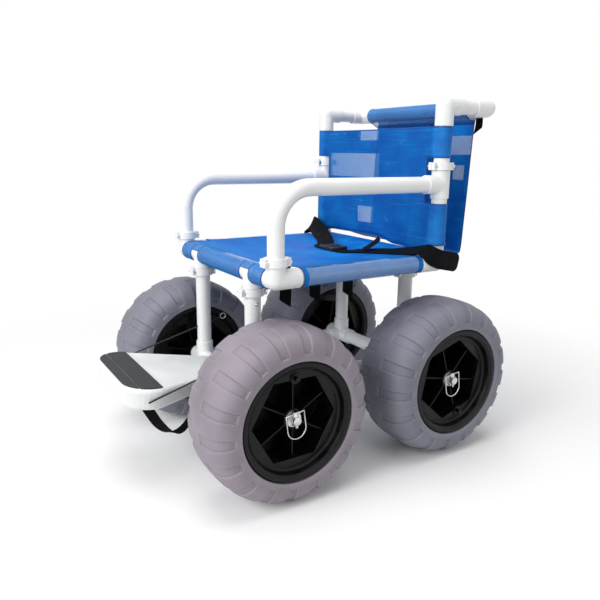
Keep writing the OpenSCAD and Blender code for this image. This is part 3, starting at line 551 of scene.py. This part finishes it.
# %% One rim
POCKET_R, WEB_Z, FACE_Z, SIDES = 109, 3, 68, 6
RIB_AT, RIB_SIZE = 58, (72, 3.5, 118)
HUB_R, HUB_LENGTH, HUB_Z = 24, 133, -6.5
BOSS_R, BOSS_AT, BOSS_LENGTH = 14, 99.19, 71
half_line = [(POCKET_R - 1.5, WEB_Z, SIDES), (POCKET_R, FACE_Z, SIDES), (118, FACE_Z, 0),
             (122, 72, 0), (123, 80, 0), (125, 86, 0), (131, 91, 0), (139, 91, 0), (142, 88, 0),
             (142, 82, 0), (129, 82, 0)]


def set_ring(verts, radius, height, sides):
    """Moves a ring of points to a radius and height, and pulls it in to straight sides."""
    for v in verts:
        angle, reach = math.atan2(v.co.y, v.co.x), radius
        if sides:
            part = math.pi / sides
            reach *= math.cos(part) / math.cos(angle % (2 * part) - part)
        v.co = at(reach * math.cos(angle), reach * math.sin(angle), height)


def rim_mesh():
    bm = bmesh.new()
    verts = bmesh.ops.create_circle(bm, segments=96, radius=0.1)["verts"]
    edges = bm.edges[:]
    set_ring(verts, *half_line[0])
    bmesh.ops.edgeloop_fill(bm, edges=edges)
    for ring in half_line[1:] + [(r, -z, n) for r, z, n in reversed(half_line)]:
        verts, edges = grow(bm, edges)
        set_ring(verts, *ring)
    bmesh.ops.edgeloop_fill(bm, edges=edges)
    corner = math.pi / SIDES
    for i in range(SIDES):
        place = Matrix.Rotation((2 * i + 1) * corner, 4, "Z") @ Matrix.Translation(at(RIB_AT, 0, 0))
        bmesh.ops.create_cube(bm, size=1, matrix=place @ Matrix.Diagonal((*at(*RIB_SIZE), 1)))
    bmesh.ops.create_cone(bm, cap_ends=True, segments=48, radius1=HUB_R / 1000,
                          radius2=HUB_R / 1000 - 0.0006, depth=HUB_LENGTH / 1000,
                          matrix=Matrix.Translation(at(0, 0, HUB_Z)))
    spot = Matrix.Translation(at(BOSS_AT, 0, BOSS_LENGTH / 2))
    bmesh.ops.create_cone(bm, cap_ends=True, segments=32, radius1=BOSS_R / 1000,
                          radius2=BOSS_R / 1000 - 0.001, depth=BOSS_LENGTH / 1000,
                          matrix=Matrix.Rotation(corner, 4, "Z") @ spot)
    return bm


print("rim of", 2 * len(half_line), "rings and", SIDES, "ribs")

# %% [markdown]
# The moulding is black satin plastic with a dusting of sand, which low rims always carry. The
# Bevel modifier gives its edges their thin highlights.

# %% Black moulded plastic on four rims
black, place, shader = finish("black_rim", Specular_IOR_Level=0.22)
clouds, dust = place.noise(30, 4), place.noise(420, 3)
sandy = (clouds * 0.5 + dust * 0.5).ramp(0.45, 0.8)
plug(shader, Base_Color=sandy.blend(paint(4, 4, 6), paint(17, 17, 21)),
     Roughness=clouds.ramp(0.3, 0.7, 0.26, 0.46), Normal=bump(dust, 0.0003, 0.3))
for name, spot in wheels.items():
    bm = rim_mesh()
    bmesh.ops.transform(bm, matrix=wheel_place(*spot), verts=bm.verts)
    rim = piece_from(bm, name + "_pocket_rim", sharp=28)
    soften(rim, "moulded edges", 1.1, 28, harden=True)
    dress(rim, black, name + "_wheel", "rim", name + "_rim")
    coat(frame["nodes"][name + "_valve"], black)

# %% [markdown]
# ## Open mesh cloth
# The slings are vinyl-coated mesh: square holes under a millimetre wide, in layers where it is
# folded. A plain half-clear blue would look like film, so the holes are real: two sawtooth waves
# over the flat cut say where a hole is. Pale windows have bigger holes, as single cloth does, and a
# paler blue; on the seat's front sleeve that paler blue is painted sheen.

# %% Blue mesh with holes
PITCH = 0.0017


def mesh_finish(name, hole, windows, wider=0.16, turn=0.0, shade=0.0):
    """Blue mesh cloth. Windows are u0, u1, v0, v1 of the flat cut, and how far they open.

    Two cloths with the same rows of holes would show false marks where one is seen through the
    other, so the cloth behind has its rows turned.
    """
    material, place, shader = finish(name, Specular_IOR_Level=0.08)
    u, v, _ = place.node("UVMap", {"uv_map": "cut"}).parts()
    inside = None
    for u0, u1, v0, v1, share in windows:
        one = abs(u - (u0 + u1) / 2) < (u1 - u0) / 2
        one = one * (abs(v - (v0 + v1) / 2) < (v1 - v0) / 2) * share
        inside = one if inside is None else inside.high(one)
    half = inside * wider + hole
    row, column = math.cos(turn) / PITCH, math.sin(turn) / PITCH
    across = abs((u * row - v * column).fract() - 0.5)
    along = abs((u * column + v * row).fract() - 0.5)
    thread = 1 - (across < half) * (along < half)
    clouds = place.noise(14, 5)
    painted_sheen_patches = place.noise(42, 6, (1, 0.35, 1)).ramp(0.62, 0.8)
    painted_sheen_streaks = place.noise(26, 5, (0.25, 0.25, 9)).ramp(0.52, 0.72)
    creases = place.noise(8, 4, (1, 1, 2.2))
    blue = clouds.ramp(0.3, 0.7).blend(paint(5, 96, 184), paint(16, 123, 206))
    if shade:
        blue = (abs(u).ramp(0.25, 0.235) * shade).blend(blue, paint(4, 60, 128))
    # Paler patches and streaks are painted sheen, where wrinkles catch the light.
    blue = (painted_sheen_patches * 0.3 + painted_sheen_streaks * 0.16).blend(blue, paint(96, 164, 226))
    # Windows are painted paler blue; in the seat's front-sleeve window this is painted sheen.
    blue = (inside * 0.4).blend(blue, paint(98, 160, 216))
    weave = (u * (math.pi / PITCH)).sine() * (v * (math.pi / PITCH)).sine()
    plug(shader, Base_Color=blue, Alpha=thread, Roughness=clouds.ramp(0.3, 0.7, 0.5, 0.65),
         Normal=bump(creases + weave * 0.06, 0.004, 0.5))
    return material


bound, place, shader = finish("dark_blue_binding", Roughness=0.6)
ribs = (place.noise(900, 2) + place.noise(60, 3)) / 2
plug(shader, Base_Color=ribs.ramp(0.35, 0.65).blend(paint(10, 48, 118), paint(18, 70, 156)),
     Normal=bump(ribs, 0.0004, 0.6))
print("mesh pitch", PITCH * 1000, "mm")

# %% [markdown]
# ## The seat's sling
# One cloth lies between the seat rails, sags in the middle, and is folded round both side rails
# and the front rail as sewn sleeves. It starts as a flat grid that is cut at the corners and the
# two front legs, then shaped, and its free edges are rolled round the rails step by step.

# %% Flat cuts and rolled edges
ROLL_STEP = 12


def whole(bm):
    return bm.verts[:] + bm.edges[:] + bm.faces[:]


def flat_grid(bm, x0, x1, y0, y1, columns, rows, cuts_x, cuts_y):
    """A flat sheet in millimetres, with grid lines at the wanted cuts, and its flat cut kept."""
    place = Matrix.Translation(at((x0 + x1) / 2, (y0 + y1) / 2, 0)) @ Matrix.Diagonal(
        ((x1 - x0) / 2000, (y1 - y0) / 2000, 1, 1))
    bmesh.ops.create_grid(bm, x_segments=columns, y_segments=rows, size=1, matrix=place)
    for places, normal in ((cuts_x, Vector((1, 0, 0))), (cuts_y, Vector((0, 1, 0)))):
        for p in places:
            bmesh.ops.bisect_plane(bm, geom=whole(bm), dist=1e-6, plane_co=normal * p / 1000,
                                   plane_no=normal)
    flat = bm.verts.layers.float_vector.new("flat")
    for v in bm.verts:
        v[flat] = v.co
    return flat


def cut_out(bm, inside):
    """Deletes the faces whose middle is inside, a test in millimetres."""
    gone = [f for f in bm.faces if inside(*(f.calc_center_median() * 1000))]
    bmesh.ops.delete(bm, geom=gone, context="FACES")


def free_edges(bm, test):
    """Free edges whose middle passes a test in millimetres."""
    return [e for e in bm.edges
            if e.is_boundary and test(*((e.verts[0].co + e.verts[1].co) * 500))]


def roll_edge(bm, edges, flat, middle, axis, way, steps, outwards):
    """Rolls a free edge round a rail: extrudes it and turns the new rim, one step at a time."""
    angle = math.radians(ROLL_STEP)
    for _ in range(steps):
        verts, edges = grow(bm, edges)
        arm = verts[0].co - middle
        radius = (arm - axis * arm.dot(axis)).length
        bmesh.ops.rotate(bm, cent=middle, matrix=Matrix.Rotation(way * angle, 3, axis), verts=verts)
        for v in verts:
            v[flat] += outwards * radius * angle


def roll_sides(bm, flat, y, z, axis):
    """Rolls the two side edges round the rails or posts that pass through y and z."""
    for side in (1, -1):
        edges = free_edges(bm, lambda x, *_: x * side > SIDE_X - 1)
        roll_edge(bm, edges, flat, at(side * SIDE_X, y, z), axis, side, 24, Vector((side, 0, 0)))


def ease(t):
    """Smooth step from 0 to 1."""
    t = max(0.0, min(1.0, t))
    return t * t * (3 - 2 * t)


print("an edge rolls", ROLL_STEP, "degrees at a time")

# %% [markdown]
# A cloth is ended in the same way each time. Dark blue tape binds every free edge, so a thin
# curve follows each chain of free edges. A mesh keeps its edges in no fixed order, so they are
# sorted by place. The flat cut is measured before the cloth gets its thickness, because that is
# the size that a sewer would cut.

# %% Bound edges and finished cloth
CLOTH_T = 1.2


def thicken(piece, label, thickness):
    """Gives a sheet its thickness in millimetres, half to each side."""
    wall = piece.modifiers.new(label, "SOLIDIFY")
    wall.thickness, wall.offset = thickness / 1000, 0


def place_of(v):
    """A point's coordinates to 0.01 mm, to sort by."""
    return [round(n, 5) for n in v.co]


def bind_edges(bm, name):
    """A curve of dark blue tape along every free edge of a cloth."""
    tape = bpy.data.curves.new(name, "CURVE")
    tape.dimensions, tape.bevel_depth, tape.bevel_resolution = "3D", CLOTH_T / 1000, 1
    left = sorted((e for e in bm.edges if e.is_boundary),
                  key=lambda e: sorted(map(place_of, e.verts)))
    while left:
        chain = sorted(left.pop(0).verts, key=place_of)
        while ahead := [e for e in left if chain[-1] in e.verts]:
            left.remove(ahead[0])
            chain.append(ahead[0].other_vert(chain[-1]))
        line = tape.splines.new("POLY")
        line.points.add(len(chain) - 1)
        for point, v in zip(line.points, chain):
            point.co = (*v.co, 1)
    piece = bpy.data.objects.new(name, tape)
    bpy.context.collection.objects.link(piece)
    dress(piece, bound, "frame", "mesh_cloth")
    print(name, len(tape.splines), "runs of tape")


def cut_size(bm, flat):
    """Width, length and area of the flat cut, in metres."""
    xs, ys = [v[flat].x for v in bm.verts], [v[flat].y for v in bm.verts]
    area = 0
    for face in bm.faces:
        a, *rest = [v[flat] for v in face.verts]
        area += sum(abs((b - a).xy.cross((c - a).xy)) / 2 for b, c in zip(rest, rest[1:]))
    return (max(xs) - min(xs), max(ys) - min(ys)), area


def cloth_from(bm, flat, name, node, material):
    """Ends a cloth: bound edges, flat cut, thickness, finish, and what it stands for."""
    bind_edges(bm, name + "_binding")
    size, area = cut_size(bm, flat)
    set_uv(bm, flat)
    piece = piece_from(bm, name, sharp=180)
    thicken(piece, "cloth", CLOTH_T)
    dress(piece, material, "frame", "mesh_cloth", node)
    print(name, "cut", [round(n, 3) for n in size], "m, area", round(area, 3))


print("cloth", CLOTH_T, "mm thick")

# %% Seat sling
SAG, CLOTH_UP, END_UP, STILL_UP = 14, 21.6, 3.4, 24
FRONT_EASE, REAR_EASE = 130, 70
SLEEVE_FRONT, SLEEVE_REAR, INNER = FRONT_Y + 64, 235.7, 236.5
NOTCH = (LEG_X - 24, LEG_X + 24)
ALONG_X, ALONG_Y = Vector((1, 0, 0)), Vector((0, 1, 0))
# The third seat window paints sheen on the front sleeve.
seat_windows = ((0.256, 0.40, -0.115, 0.224, 1), (-0.40, -0.256, -0.115, 0.224, 1),
                (-0.237, 0.237, -0.245, -0.18, 0.8))
seat_cloth = mesh_finish("seat_mesh", 0.1, seat_windows, 0.3)
bm = bmesh.new()
flat = flat_grid(bm, -SIDE_X, SIDE_X, FRONT_Y, REAR_Y, 40, 38,
                 (-INNER, -NOTCH[1], -NOTCH[0], *NOTCH, INNER), (SLEEVE_FRONT, SLEEVE_REAR))
cut_out(bm, lambda x, y, z: abs(x) > INNER and not SLEEVE_FRONT < y < SLEEVE_REAR)
for v in bm.verts:
    x, y, _ = v.co * 1000
    sag = 1 - (x / SIDE_X) ** 2
    ends = 1 - ease((y - FRONT_Y) / FRONT_EASE) + ease((y - REAR_Y) / REAR_EASE + 1)
    v.co.z = (SEAT_Z + CLOTH_UP + END_UP * ends - SAG * sag * (1 - ends)) / 1000
roll_sides(bm, flat, 0, SEAT_Z, ALONG_Y)
roll_edge(bm, free_edges(bm, lambda x, y, z: y > REAR_Y - 0.5), flat, at(0, REAR_Y, SEAT_Z),
          ALONG_X, -1, 6, ALONG_Y)
for notch, steps in ((True, 5), (False, 23)):
    edges = free_edges(bm, lambda x, y, z: y < FRONT_Y + 0.5 and z > SEAT_Z + STILL_UP
                       and (NOTCH[0] < abs(x) < NOTCH[1]) == notch)
    roll_edge(bm, edges, flat, at(0, FRONT_Y, SEAT_Z), ALONG_X, 1, steps, -ALONG_Y)
cloth_from(bm, flat, "seat_mesh_sling", "seat_sling", seat_cloth)

# %% [markdown]
# ## The back's sling and its pouch
# The back is the same cloth between the posts, with a notch on each side for the armrest's tee.
# It bellies backwards, its lower edge is wavy, and that edge hangs lower on the near side. Behind
# it hangs a pouch: one cloth that loops over the push bar, drops, turns forward and ends at the
# back. The pouch's line is drawn once and swept across the chair.

# %% Back sling
BACK_LOW, BACK_TOP, NOTCH_LOW, NOTCH_TOP, NOTCH_IN = 548, 861, 668, 785.4, 222
SLEEVE_LOW, SLEEVE_IN = 562, 250
BEFORE_POST, BELLY, WAVE, CLEAR, DROOP = 21.5, 30, 2.5, 4, 7
back_windows = ((-0.086, -0.004, 0.832, 0.859, 1), (-0.215, 0.003, 0.724, 0.794, 1),
                (-0.088, -0.016, 0.587, 0.638, 1), (0.25, 0.4, 0.55, 0.87, 0.25),
                (-0.4, -0.25, 0.55, 0.87, 0.25))
back_cloth = mesh_finish("back_mesh", 0.1, back_windows, shade=0.4)


def past_edge(x, y, z):
    """True in the notches for the tees, and below the sleeves."""
    return (abs(x) > NOTCH_IN and NOTCH_LOW < y < NOTCH_TOP
            or abs(x) > SLEEVE_IN and y < SLEEVE_LOW)


bm = bmesh.new()
flat = flat_grid(bm, -SIDE_X, SIDE_X, BACK_LOW, BACK_TOP, 40, 28,
                 (-NOTCH_IN, NOTCH_IN, -SLEEVE_IN, SLEEVE_IN), (SLEEVE_LOW, NOTCH_LOW, NOTCH_TOP))
cut_out(bm, past_edge)
for v in bm.verts:
    x, height, _ = v.co * 1000
    belly = BELLY * (1 - (x / SIDE_X) ** 2)
    wave = WAVE * math.sin(x / 26 + height / 34)
    wave *= ease((640 - height) / 70) * ease((SIDE_X - abs(x)) / 60)
    clear = CLEAR * ease((575 - height) / 20) * ease((abs(x) - 190) / 40)
    droop = DROOP * (ease((60 - x) / 50) - ease((x - 45) / 40))
    droop *= ease((610 - height) / 60) * ease((240 - abs(x)) / 40)
    v.co = at(x, REAR_Y - BEFORE_POST + belly + wave - clear, height + droop)
roll_sides(bm, flat, REAR_Y, 0, Vector((0, 0, 1)))
cloth_from(bm, flat, "back_mesh_sling", "back_sling", back_cloth)

# %% Rear pouch
POUCH_W, POUCH_STEPS, LINE_STEPS = 414, 24, 3
LOOP_R, LOOP_OVAL, LOOP_TURN = 21.3, 5, 220
SEAM_Y, SEAM_Z, LOW_Z, EDGE_Y = BAR_Y + 20, HANDLE_Z - 36, SEAT_Z + 4, 310.5
pouch_windows = ((0.123, 0.21, 0.793, 0.845, 1), (0.146, 0.188, 0.724, 0.764, 1),
                 (-0.207, 0.207, 0.886, 1.05, 1))
pouch_cloth = mesh_finish("pouch_mesh", 0.08, pouch_windows, 0.26, turn=0.6)
loop = []
for i in range(13):
    w = math.radians(LOOP_TURN * (1 - i / 12))
    r = LOOP_R + LOOP_OVAL * math.cos(w) ** 2
    loop.append((BAR_Y + r * math.cos(w), HANDLE_Z + r * math.sin(w)))
drawn = [(SEAM_Y - 4, SEAM_Z)] + loop + [
    (SEAM_Y, SEAM_Z), (SEAM_Y - 5, 790), (SEAM_Y - 9, 700), (SEAM_Y - 14, 610),
    (SEAM_Y - 18, LOW_Z + 22), (SEAM_Y - 24, LOW_Z + 3), (SEAM_Y - 44, LOW_Z + 5),
    (EDGE_Y + 60, LOW_Z + 22), (EDGE_Y + 18, LOW_Z + 37), (EDGE_Y + 1, 564), (EDGE_Y, 577)]
line = curve_through([at(-POUCH_W / 2, y, z) for y, z in drawn], LINE_STEPS)
bm = bmesh.new()
flat = bm.verts.layers.float_vector.new("flat")
verts = [bm.verts.new(p) for p in line]
edges = [bm.edges.new(pair) for pair in zip(verts, verts[1:])]
below_seam = sum(e.calc_length() for e in edges[LINE_STEPS * (1 + len(loop)):])
for i, v in enumerate(verts):
    below = sum(e.calc_length() for e in edges[i:])
    v[flat] = (v.co.x, SEAM_Z / 1000 - below_seam + below, 0)
for _ in range(POUCH_STEPS):
    verts, edges = grow(bm, edges)
    bmesh.ops.translate(bm, vec=at(POUCH_W / POUCH_STEPS, 0, 0), verts=verts)
    for v in verts:
        v[flat].x = v.co.x
for v in bm.verts:
    x, y, z = v.co * 1000
    belly = ease((z - 560) / 80) * ease((860 - z) / 60) * ease((y - 400) / 40)
    belly *= 1 - (2 * x / POUCH_W) ** 2
    v.co.y += 0.004 * belly + 0.002 * math.sin(x / 31) * belly
cloth_from(bm, flat, "hanging_pouch", "rear_pouch", pouch_cloth)

# %% [markdown]
# ## Webbing
# Belt, straps and the footrest's pull strap are black woven webbing: flat, stiff across its width
# and soft along it. A row of points as wide as the webbing is swept along a smooth line, so each
# strap keeps one flat cut, and fine ribs in its finish follow that cut.

# %% Woven black webbing
RIB_PITCH, ROW_PITCH = 0.0016, 0.0032
web, place, shader = finish("black_webbing", Specular_IOR_Level=0.08)
u, v, _ = place.node("UVMap", {"uv_map": "cut"}).parts()
ribs = (v * (math.tau / RIB_PITCH)).sine() * 0.5 + (u * (math.tau / ROW_PITCH)).sine() * 0.3
fuzz = place.noise(35, 5)
faded = (fuzz * 0.7 + ribs * 0.15).ramp(0.25, 0.7)
plug(shader, Base_Color=faded.blend(paint(5, 6, 8), paint(17, 18, 21)),
     Roughness=fuzz.ramp(0.3, 0.7, 0.6, 0.82), Normal=bump(ribs + fuzz * 0.6, 0.0006, 0.7))
print("ribs of the webbing", RIB_PITCH * 1000, "mm apart")

# %% Straps of webbing
WEB_T, COLUMNS = 1.6, 8


def trim(bm, last, place, away):
    """Cuts off the end past a plane, which is drawn in the last frame of the route."""
    bmesh.ops.bisect_plane(bm, geom=whole(bm), clear_outer=True, plane_co=last @ place,
                           plane_no=last.to_3x3() @ away)


def strap(name, points, widths, width, body="frame", tip=0, corner=0):
    """Webbing along points in millimetres. A tip cuts its end on the slant, a corner rounds it."""
    route = curve_through([at(*p) for p in points], 4)
    wide = Vector(widths) if not isinstance(widths[0], tuple) else curve_through(
        [Vector(w) for w in widths], 4)
    frames = frames_along(route, wide)
    bm = bmesh.new()
    flat = bm.verts.layers.float_vector.new("flat")
    places = [at(width * (i / COLUMNS - 0.5), 0, 0) for i in range(COLUMNS + 1)]
    row = [bm.verts.new(frames[0] @ place) for place in places]
    for v, place in zip(row, places):
        v[flat] = place
    sweep(bm, [bm.edges.new(pair) for pair in zip(row, row[1:])], frames, flat)
    if tip:
        trim(bm, frames[-1], at(-width / 2, 0, 0), Vector((tip, 0, width)))
    for side, slant in ((s, math.radians(a)) for s in (1, -1) for a in (22, 45, 68) if corner):
        away = Vector((side * math.cos(slant), 0, math.sin(slant)))
        middle = at(side * (width / 2 - corner), 0, -corner)
        trim(bm, frames[-1], middle + away * corner / 1000, away)
    size, area = cut_size(bm, flat)
    set_uv(bm, flat)
    piece = piece_from(bm, name, sharp=180)
    thicken(piece, "webbing", WEB_T)
    soften(piece, "woven edge", 0.5, 60)
    dress(piece, web, body, "webbing")
    print(name, [round(1000 * n) for n in size], "mm of webbing")
    return piece


print("webbing", WEB_T, "mm thick")

# %% [markdown]
# ## Seat belt and buckle
# The belt lies open on the seat, and its two halves run from the buckle to the rear corners. The
# far half turns on its edge, bends over the side rail and hangs outside it. The near half turns
# down outside the near corner and ends there, rounded. A loose tail comes out beside the buckle.

# %% Belt
BELT_W, BELT_UP, BELT_SHARE = 50, 25.1, 0.70


def sagging(x, up):
    """Height above the floor of what follows the seat's sag."""
    return SEAT_Z + up - SAG * (1 - (x / SIDE_X) ** 2)


def on_seat(x):
    """A point of the belt on the sagging seat."""
    return (x, FRONT_Y + BELT_SHARE * WHEELBASE, sagging(x, BELT_UP))


near_line = [on_seat(32.2), on_seat(56), (78.6, 182.1, 528), (120.5, 211, 531), (162.4, 231, 535),
             (204.4, 246, 541), (240, 249, 547), (262, 251, 552), (279, 256, 546), (290, 266, 535),
             (293.5, 285, 527), (294, 308, 522), (293, 332, 517), (291, 356, 512)]
near_lean = [(0, 1, 0), (0, 1, 0), (0, 1, 0.05), (0, 1, 0.15), (0, 1, 0.2), (0, 0.95, 0.32),
             (0, 0.91, 0.42), (-0.05, 0.92, 0.4), (-0.3, 0.7, 0.64), (-0.1, 0.35, 0.93),
             (0, 0.15, 1), (0, 0.1, 1), (0, 0.1, 1), (0, 0.35, 1)]
far_line = [on_seat(-32.2), on_seat(-56), (-78.6, 180, 527), (-120.5, 206, 532), (-162, 224, 540),
            (-204, 237, 553), (-238, 245, 563), (-262, 250, 566), (-281, 256, 556),
            (-290, 262, 538), (-293, 268, 515), (-294, 274, 490)]
far_lean = [(0, 1, 0), (0, 1, 0), (0, 1, 0.05), (0, 1, 0.25), (0, 1, 0.7), (0, 0.8, 1),
            (0, 0.5, 1), (0, 0.45, 1), (0, 0.7, 0.8), (0, 1, 0.4), (0, 1, 0.2), (0, 1, 0.15)]
tail_line = [(92, 190, 533), (99, 204, 541), (107, 219, 553), (113, 232, 567)]
left_half = strap("left_belt_half", near_line, near_lean, BELT_W, corner=17)
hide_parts("seat_belt")
strap("right_belt_half", far_line, far_lean, BELT_W)
strap("belt_tail", tail_line, (1, 0, 0), 22, tip=6)

# %% Tab at the pouch
tab_line = [(221, BAR_Y + 22, 899), (221, BAR_Y + 23, 872), (217, BAR_Y + 21, 846)]
strap("pouch_tab", tab_line, (1, 0, 0), 24, tip=22)

# %% Buckle
moulded, place, shader = finish("black_buckle", Specular_IOR_Level=0.4)
grain = place.noise(500, 2)
plug(shader, Base_Color=place.noise(50, 4).ramp(0.3, 0.75).blend(paint(13, 13, 15),
                                                               paint(36, 36, 39)),
     Roughness=grain.ramp(0.3, 0.7, 0.32, 0.5), Normal=bump(grain, 0.0002, 0.4))


def block(bm, x, y, z, size):
    """Adds a block of a size round a middle, both in millimetres."""
    place = Matrix.Translation(at(x, y, z)) @ Matrix.Diagonal((*at(*size), 1))
    return bmesh.ops.create_cube(bm, size=1, matrix=place)["verts"]


bm = bmesh.new()
for x0, x1, width, height in ((-31.3, -1, 56, 11), (1, 22, 46, 9), (22, 31.3, 56, 10)):
    corners = block(bm, (x0 + x1) / 2, 0, height / 2 - 1, (x1 - x0, width, height))
    sides = [e for e in bm.edges if e.verts[0] in corners]
    bmesh.ops.bevel(bm, geom=sides, offset=0.003, offset_type="OFFSET", segments=3, profile=0.5,
                    affect="EDGES", material=-1)
for face in [f for f in bm.faces if f.normal.z > 0.99 and f.calc_area() > 4e-4]:
    bmesh.ops.inset_region(bm, faces=[face], thickness=0.003, depth=-0.0012)
for y in (-26, 26):
    block(bm, 11, y, 4, (19, 4, 6))
bmesh.ops.translate(bm, vec=at(*on_seat(0)), verts=bm.verts)
buckle = piece_from(bm, "moulded_buckle", sharp=40)
dress(buckle, moulded, "frame", "buckle", "belt_buckle")

# %% [markdown]
# ## Straps under the seat
# Three straps cross under the sling and carry the occupant's weight. The spare end of each hangs
# down in the middle, cut on the slant so that the weave doesn't fray.

# %% Three straps with hanging tails
STRAP_W, STRAP_UP, TAIL_X = 38, 19.6, -16
for number, share in enumerate((0.39, 0.60, 0.84), 1):
    middle = FRONT_Y + share * WHEELBASE
    arc = [(x, middle, sagging(x, STRAP_UP)) for x in range(-235, 236, 47)]
    across = strap(f"seat_strap_{number}", arc, (0, 1, 0), STRAP_W)
    if number == 1:
        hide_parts("under_seat_straps")
    bow = 3 * math.sin(2.1 * number)
    tail = [(TAIL_X, middle, 518.5), (TAIL_X - bow, middle, 470), (TAIL_X + bow, middle, 420),
            (TAIL_X, middle, 363)]
    strap(f"strap_tail_{number}", tail, (0, -1, 0), STRAP_W, tip=26)

# %% [markdown]
# ## The footrest
# The board is a white moulding that narrows towards the chair and hinges on the front axle's tube
# by two black clips. Two grip pads cover its front end, and a webbing loop below lifts it.

# %% Board, pads and clips
board, place, shader = finish("white_board", Roughness=0.45)
grain, clouds = place.noise(320, 3), place.noise(12, 5)
scuffed = (clouds * 0.8 + grain * 0.2).ramp(0.3, 0.7)
plug(shader, Base_Color=scuffed.blend(paint(213, 216, 215), paint(226, 228, 227)),
     Roughness=clouds.ramp(0.3, 0.7, 0.38, 0.55), Normal=bump(grain, 0.0004, 0.25))
coat(frame["nodes"]["footrest_board"], board)
grip, place, shader = finish("grip_pad", Roughness=0.85)
grit, wear_and_painted_light = place.noise(1400, 2), place.noise(24, 5)
trodden = (grit * 0.5 + wear_and_painted_light * 0.5).ramp(0.3, 0.7)
plug(shader, Base_Color=trodden.blend(paint(33, 34, 38), paint(56, 57, 61)),
     Roughness=wear_and_painted_light.ramp(0.3, 0.7, 0.75, 0.95), Normal=bump(grit, 0.0006, 0.8))
rounded_copy("footrest_pads", grip, 0.6, "pad", 2)
rounded_copy("footrest_clips", black, 1.0, "rim", 2)

# %% [markdown]
# The pull strap hangs below the board as a loop. The board is tilted, so one helper turns a point
# drawn on it into the chair's frame. The loop is given in shares of the board's half width, its
# length and the loop's drop.

# %% Pull strap
BOARD_HALF, BOARD_L, BOARD_T, PULL_DROP = 157, 323, 24, 84
lift = math.radians(5.7)


def on_board(x, y, z):
    """A point drawn in the board's frame, in the chair's."""
    return (x, FRONT_Y + y * math.cos(lift) + z * math.sin(lift),
            AXLE_Z - y * math.sin(lift) + z * math.cos(lift))


pull_shares = ((0.69, 0.80, 0), (0.69, 0.80, 0.06), (0.68, 0.76, 0.30), (0.665, 0.70, 0.62),
               (0.64, 0.62, 0.90), (0.61, 0.54, 1), (0.57, 0.465, 0.86), (0.54, 0.41, 0.5))
pull_line = [on_board(BOARD_HALF * x, -BOARD_L * y, -BOARD_T - PULL_DROP * z)
             for x, y, z in pull_shares] + [on_board(83.2, -126, -11)]
pull_turn = [(0.3, 1, 0), (0.3, 1, 0), (0.35, 1, 0.1), (0.5, 1, 0.2), (0.7, 0.8, 0.1),
             (0.9, 0.5, 0), (1, 0.2, 0), (1, 0, 0), (1, 0, 0)]
pull = strap("footrest_pull_loop", pull_line, pull_turn, 25, body="footrest")
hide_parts("footrest_pull_strap")

# %% [markdown]
# ## Wheel bushes
# Pale turned plastic bushes line each hub, so the wheels run on them and not on the steel.

# %% Pale bushes
pale_bush, place, shader = finish("pale_bush", Roughness=0.5)
rings = place.noise(600, 2, (1, 0.2, 0.2))
plug(shader, Base_Color=rings.ramp(0.3, 0.7).blend(paint(206, 205, 199), paint(222, 221, 216)),
     Normal=bump(rings, 0.0002, 0.4))
for name in wheels:
    coat(frame["nodes"][name + "_bushes"], pale_bush)
print("bushes in", len(wheels), "hubs")

# %% [markdown]
# ## Light and floor
# Soft studio light comes from three large lamps: the key in front of the chair, a weak fill on its
# left and one overhead, under an even sky. The sky is white only to the eye of the camera, of
# mirrors and of clear things, so the chair itself isn't overlit.

# %% Lamps and sky
def lamp(name, place, target, size, power):
    light = bpy.data.lights.new(name, "AREA")
    light.size, light.energy = size, power
    obj = bpy.data.objects.new(name, light)
    obj.location = place
    obj.rotation_euler = (Vector(target) - Vector(place)).to_track_quat("-Z", "Y").to_euler()
    bpy.context.collection.objects.link(obj)
    print(name, "lamp of", power, "watts")


lamp("key", (0.6, -3.1, 1.9), (0, 0, 0.45), 2.0, 90)
lamp("fill", (3.2, 0.4, 1.6), (0, 0, 0.45), 2.4, 15)
lamp("top", (0.0, 0.0, 3.2), (0, 0, 0.4), 2.6, 54)

SKY_LIGHT, SKY_SEEN = 0.4, 1.0
IS_CAMERA, IS_GLOSSY, IS_TRANSMISSION = 0, 3, 6
world = bpy.data.worlds.new("studio")
world.use_nodes = True
bpy.context.scene.world = world
sky = world.node_tree.nodes["Background"]
sky.inputs["Color"].default_value = (1, 1, 1, 1)
wire = Wire(world.node_tree)
seen, *others = (wire.node("LightPath", out=n) for n in (IS_CAMERA, IS_GLOSSY, IS_TRANSMISSION))
for other in others:
    seen = seen.high(other)
plug(sky, Strength=seen.ramp(0, 1, SKY_LIGHT, SKY_SEEN))

# %% [markdown]
# The floor is a pale disc that fades out before its edge, so no horizon shows, and it keeps the
# chair's shadow.

# %% Floor
FLOOR_R, FADE_FROM, FADE_TO = 3.0, 0.6, 1.8
bm = bmesh.new()
bmesh.ops.create_circle(bm, cap_ends=True, segments=96, radius=FLOOR_R)
floor = piece_from(bm, "floor")
pale, place, shader = finish("pale_floor", Roughness=0.9)
x, y, _ = place.parts()
reach = (x * x + y * y) ** 0.5
plug(shader, Base_Color=place.noise(3).blend(paint(248, 248, 248), paint(251, 251, 251)),
     Alpha=reach.ramp(FADE_FROM, FADE_TO, 1.0, 0.0))
coat(floor, pale)
bpy.context.scene.view_settings.view_transform = "Standard"
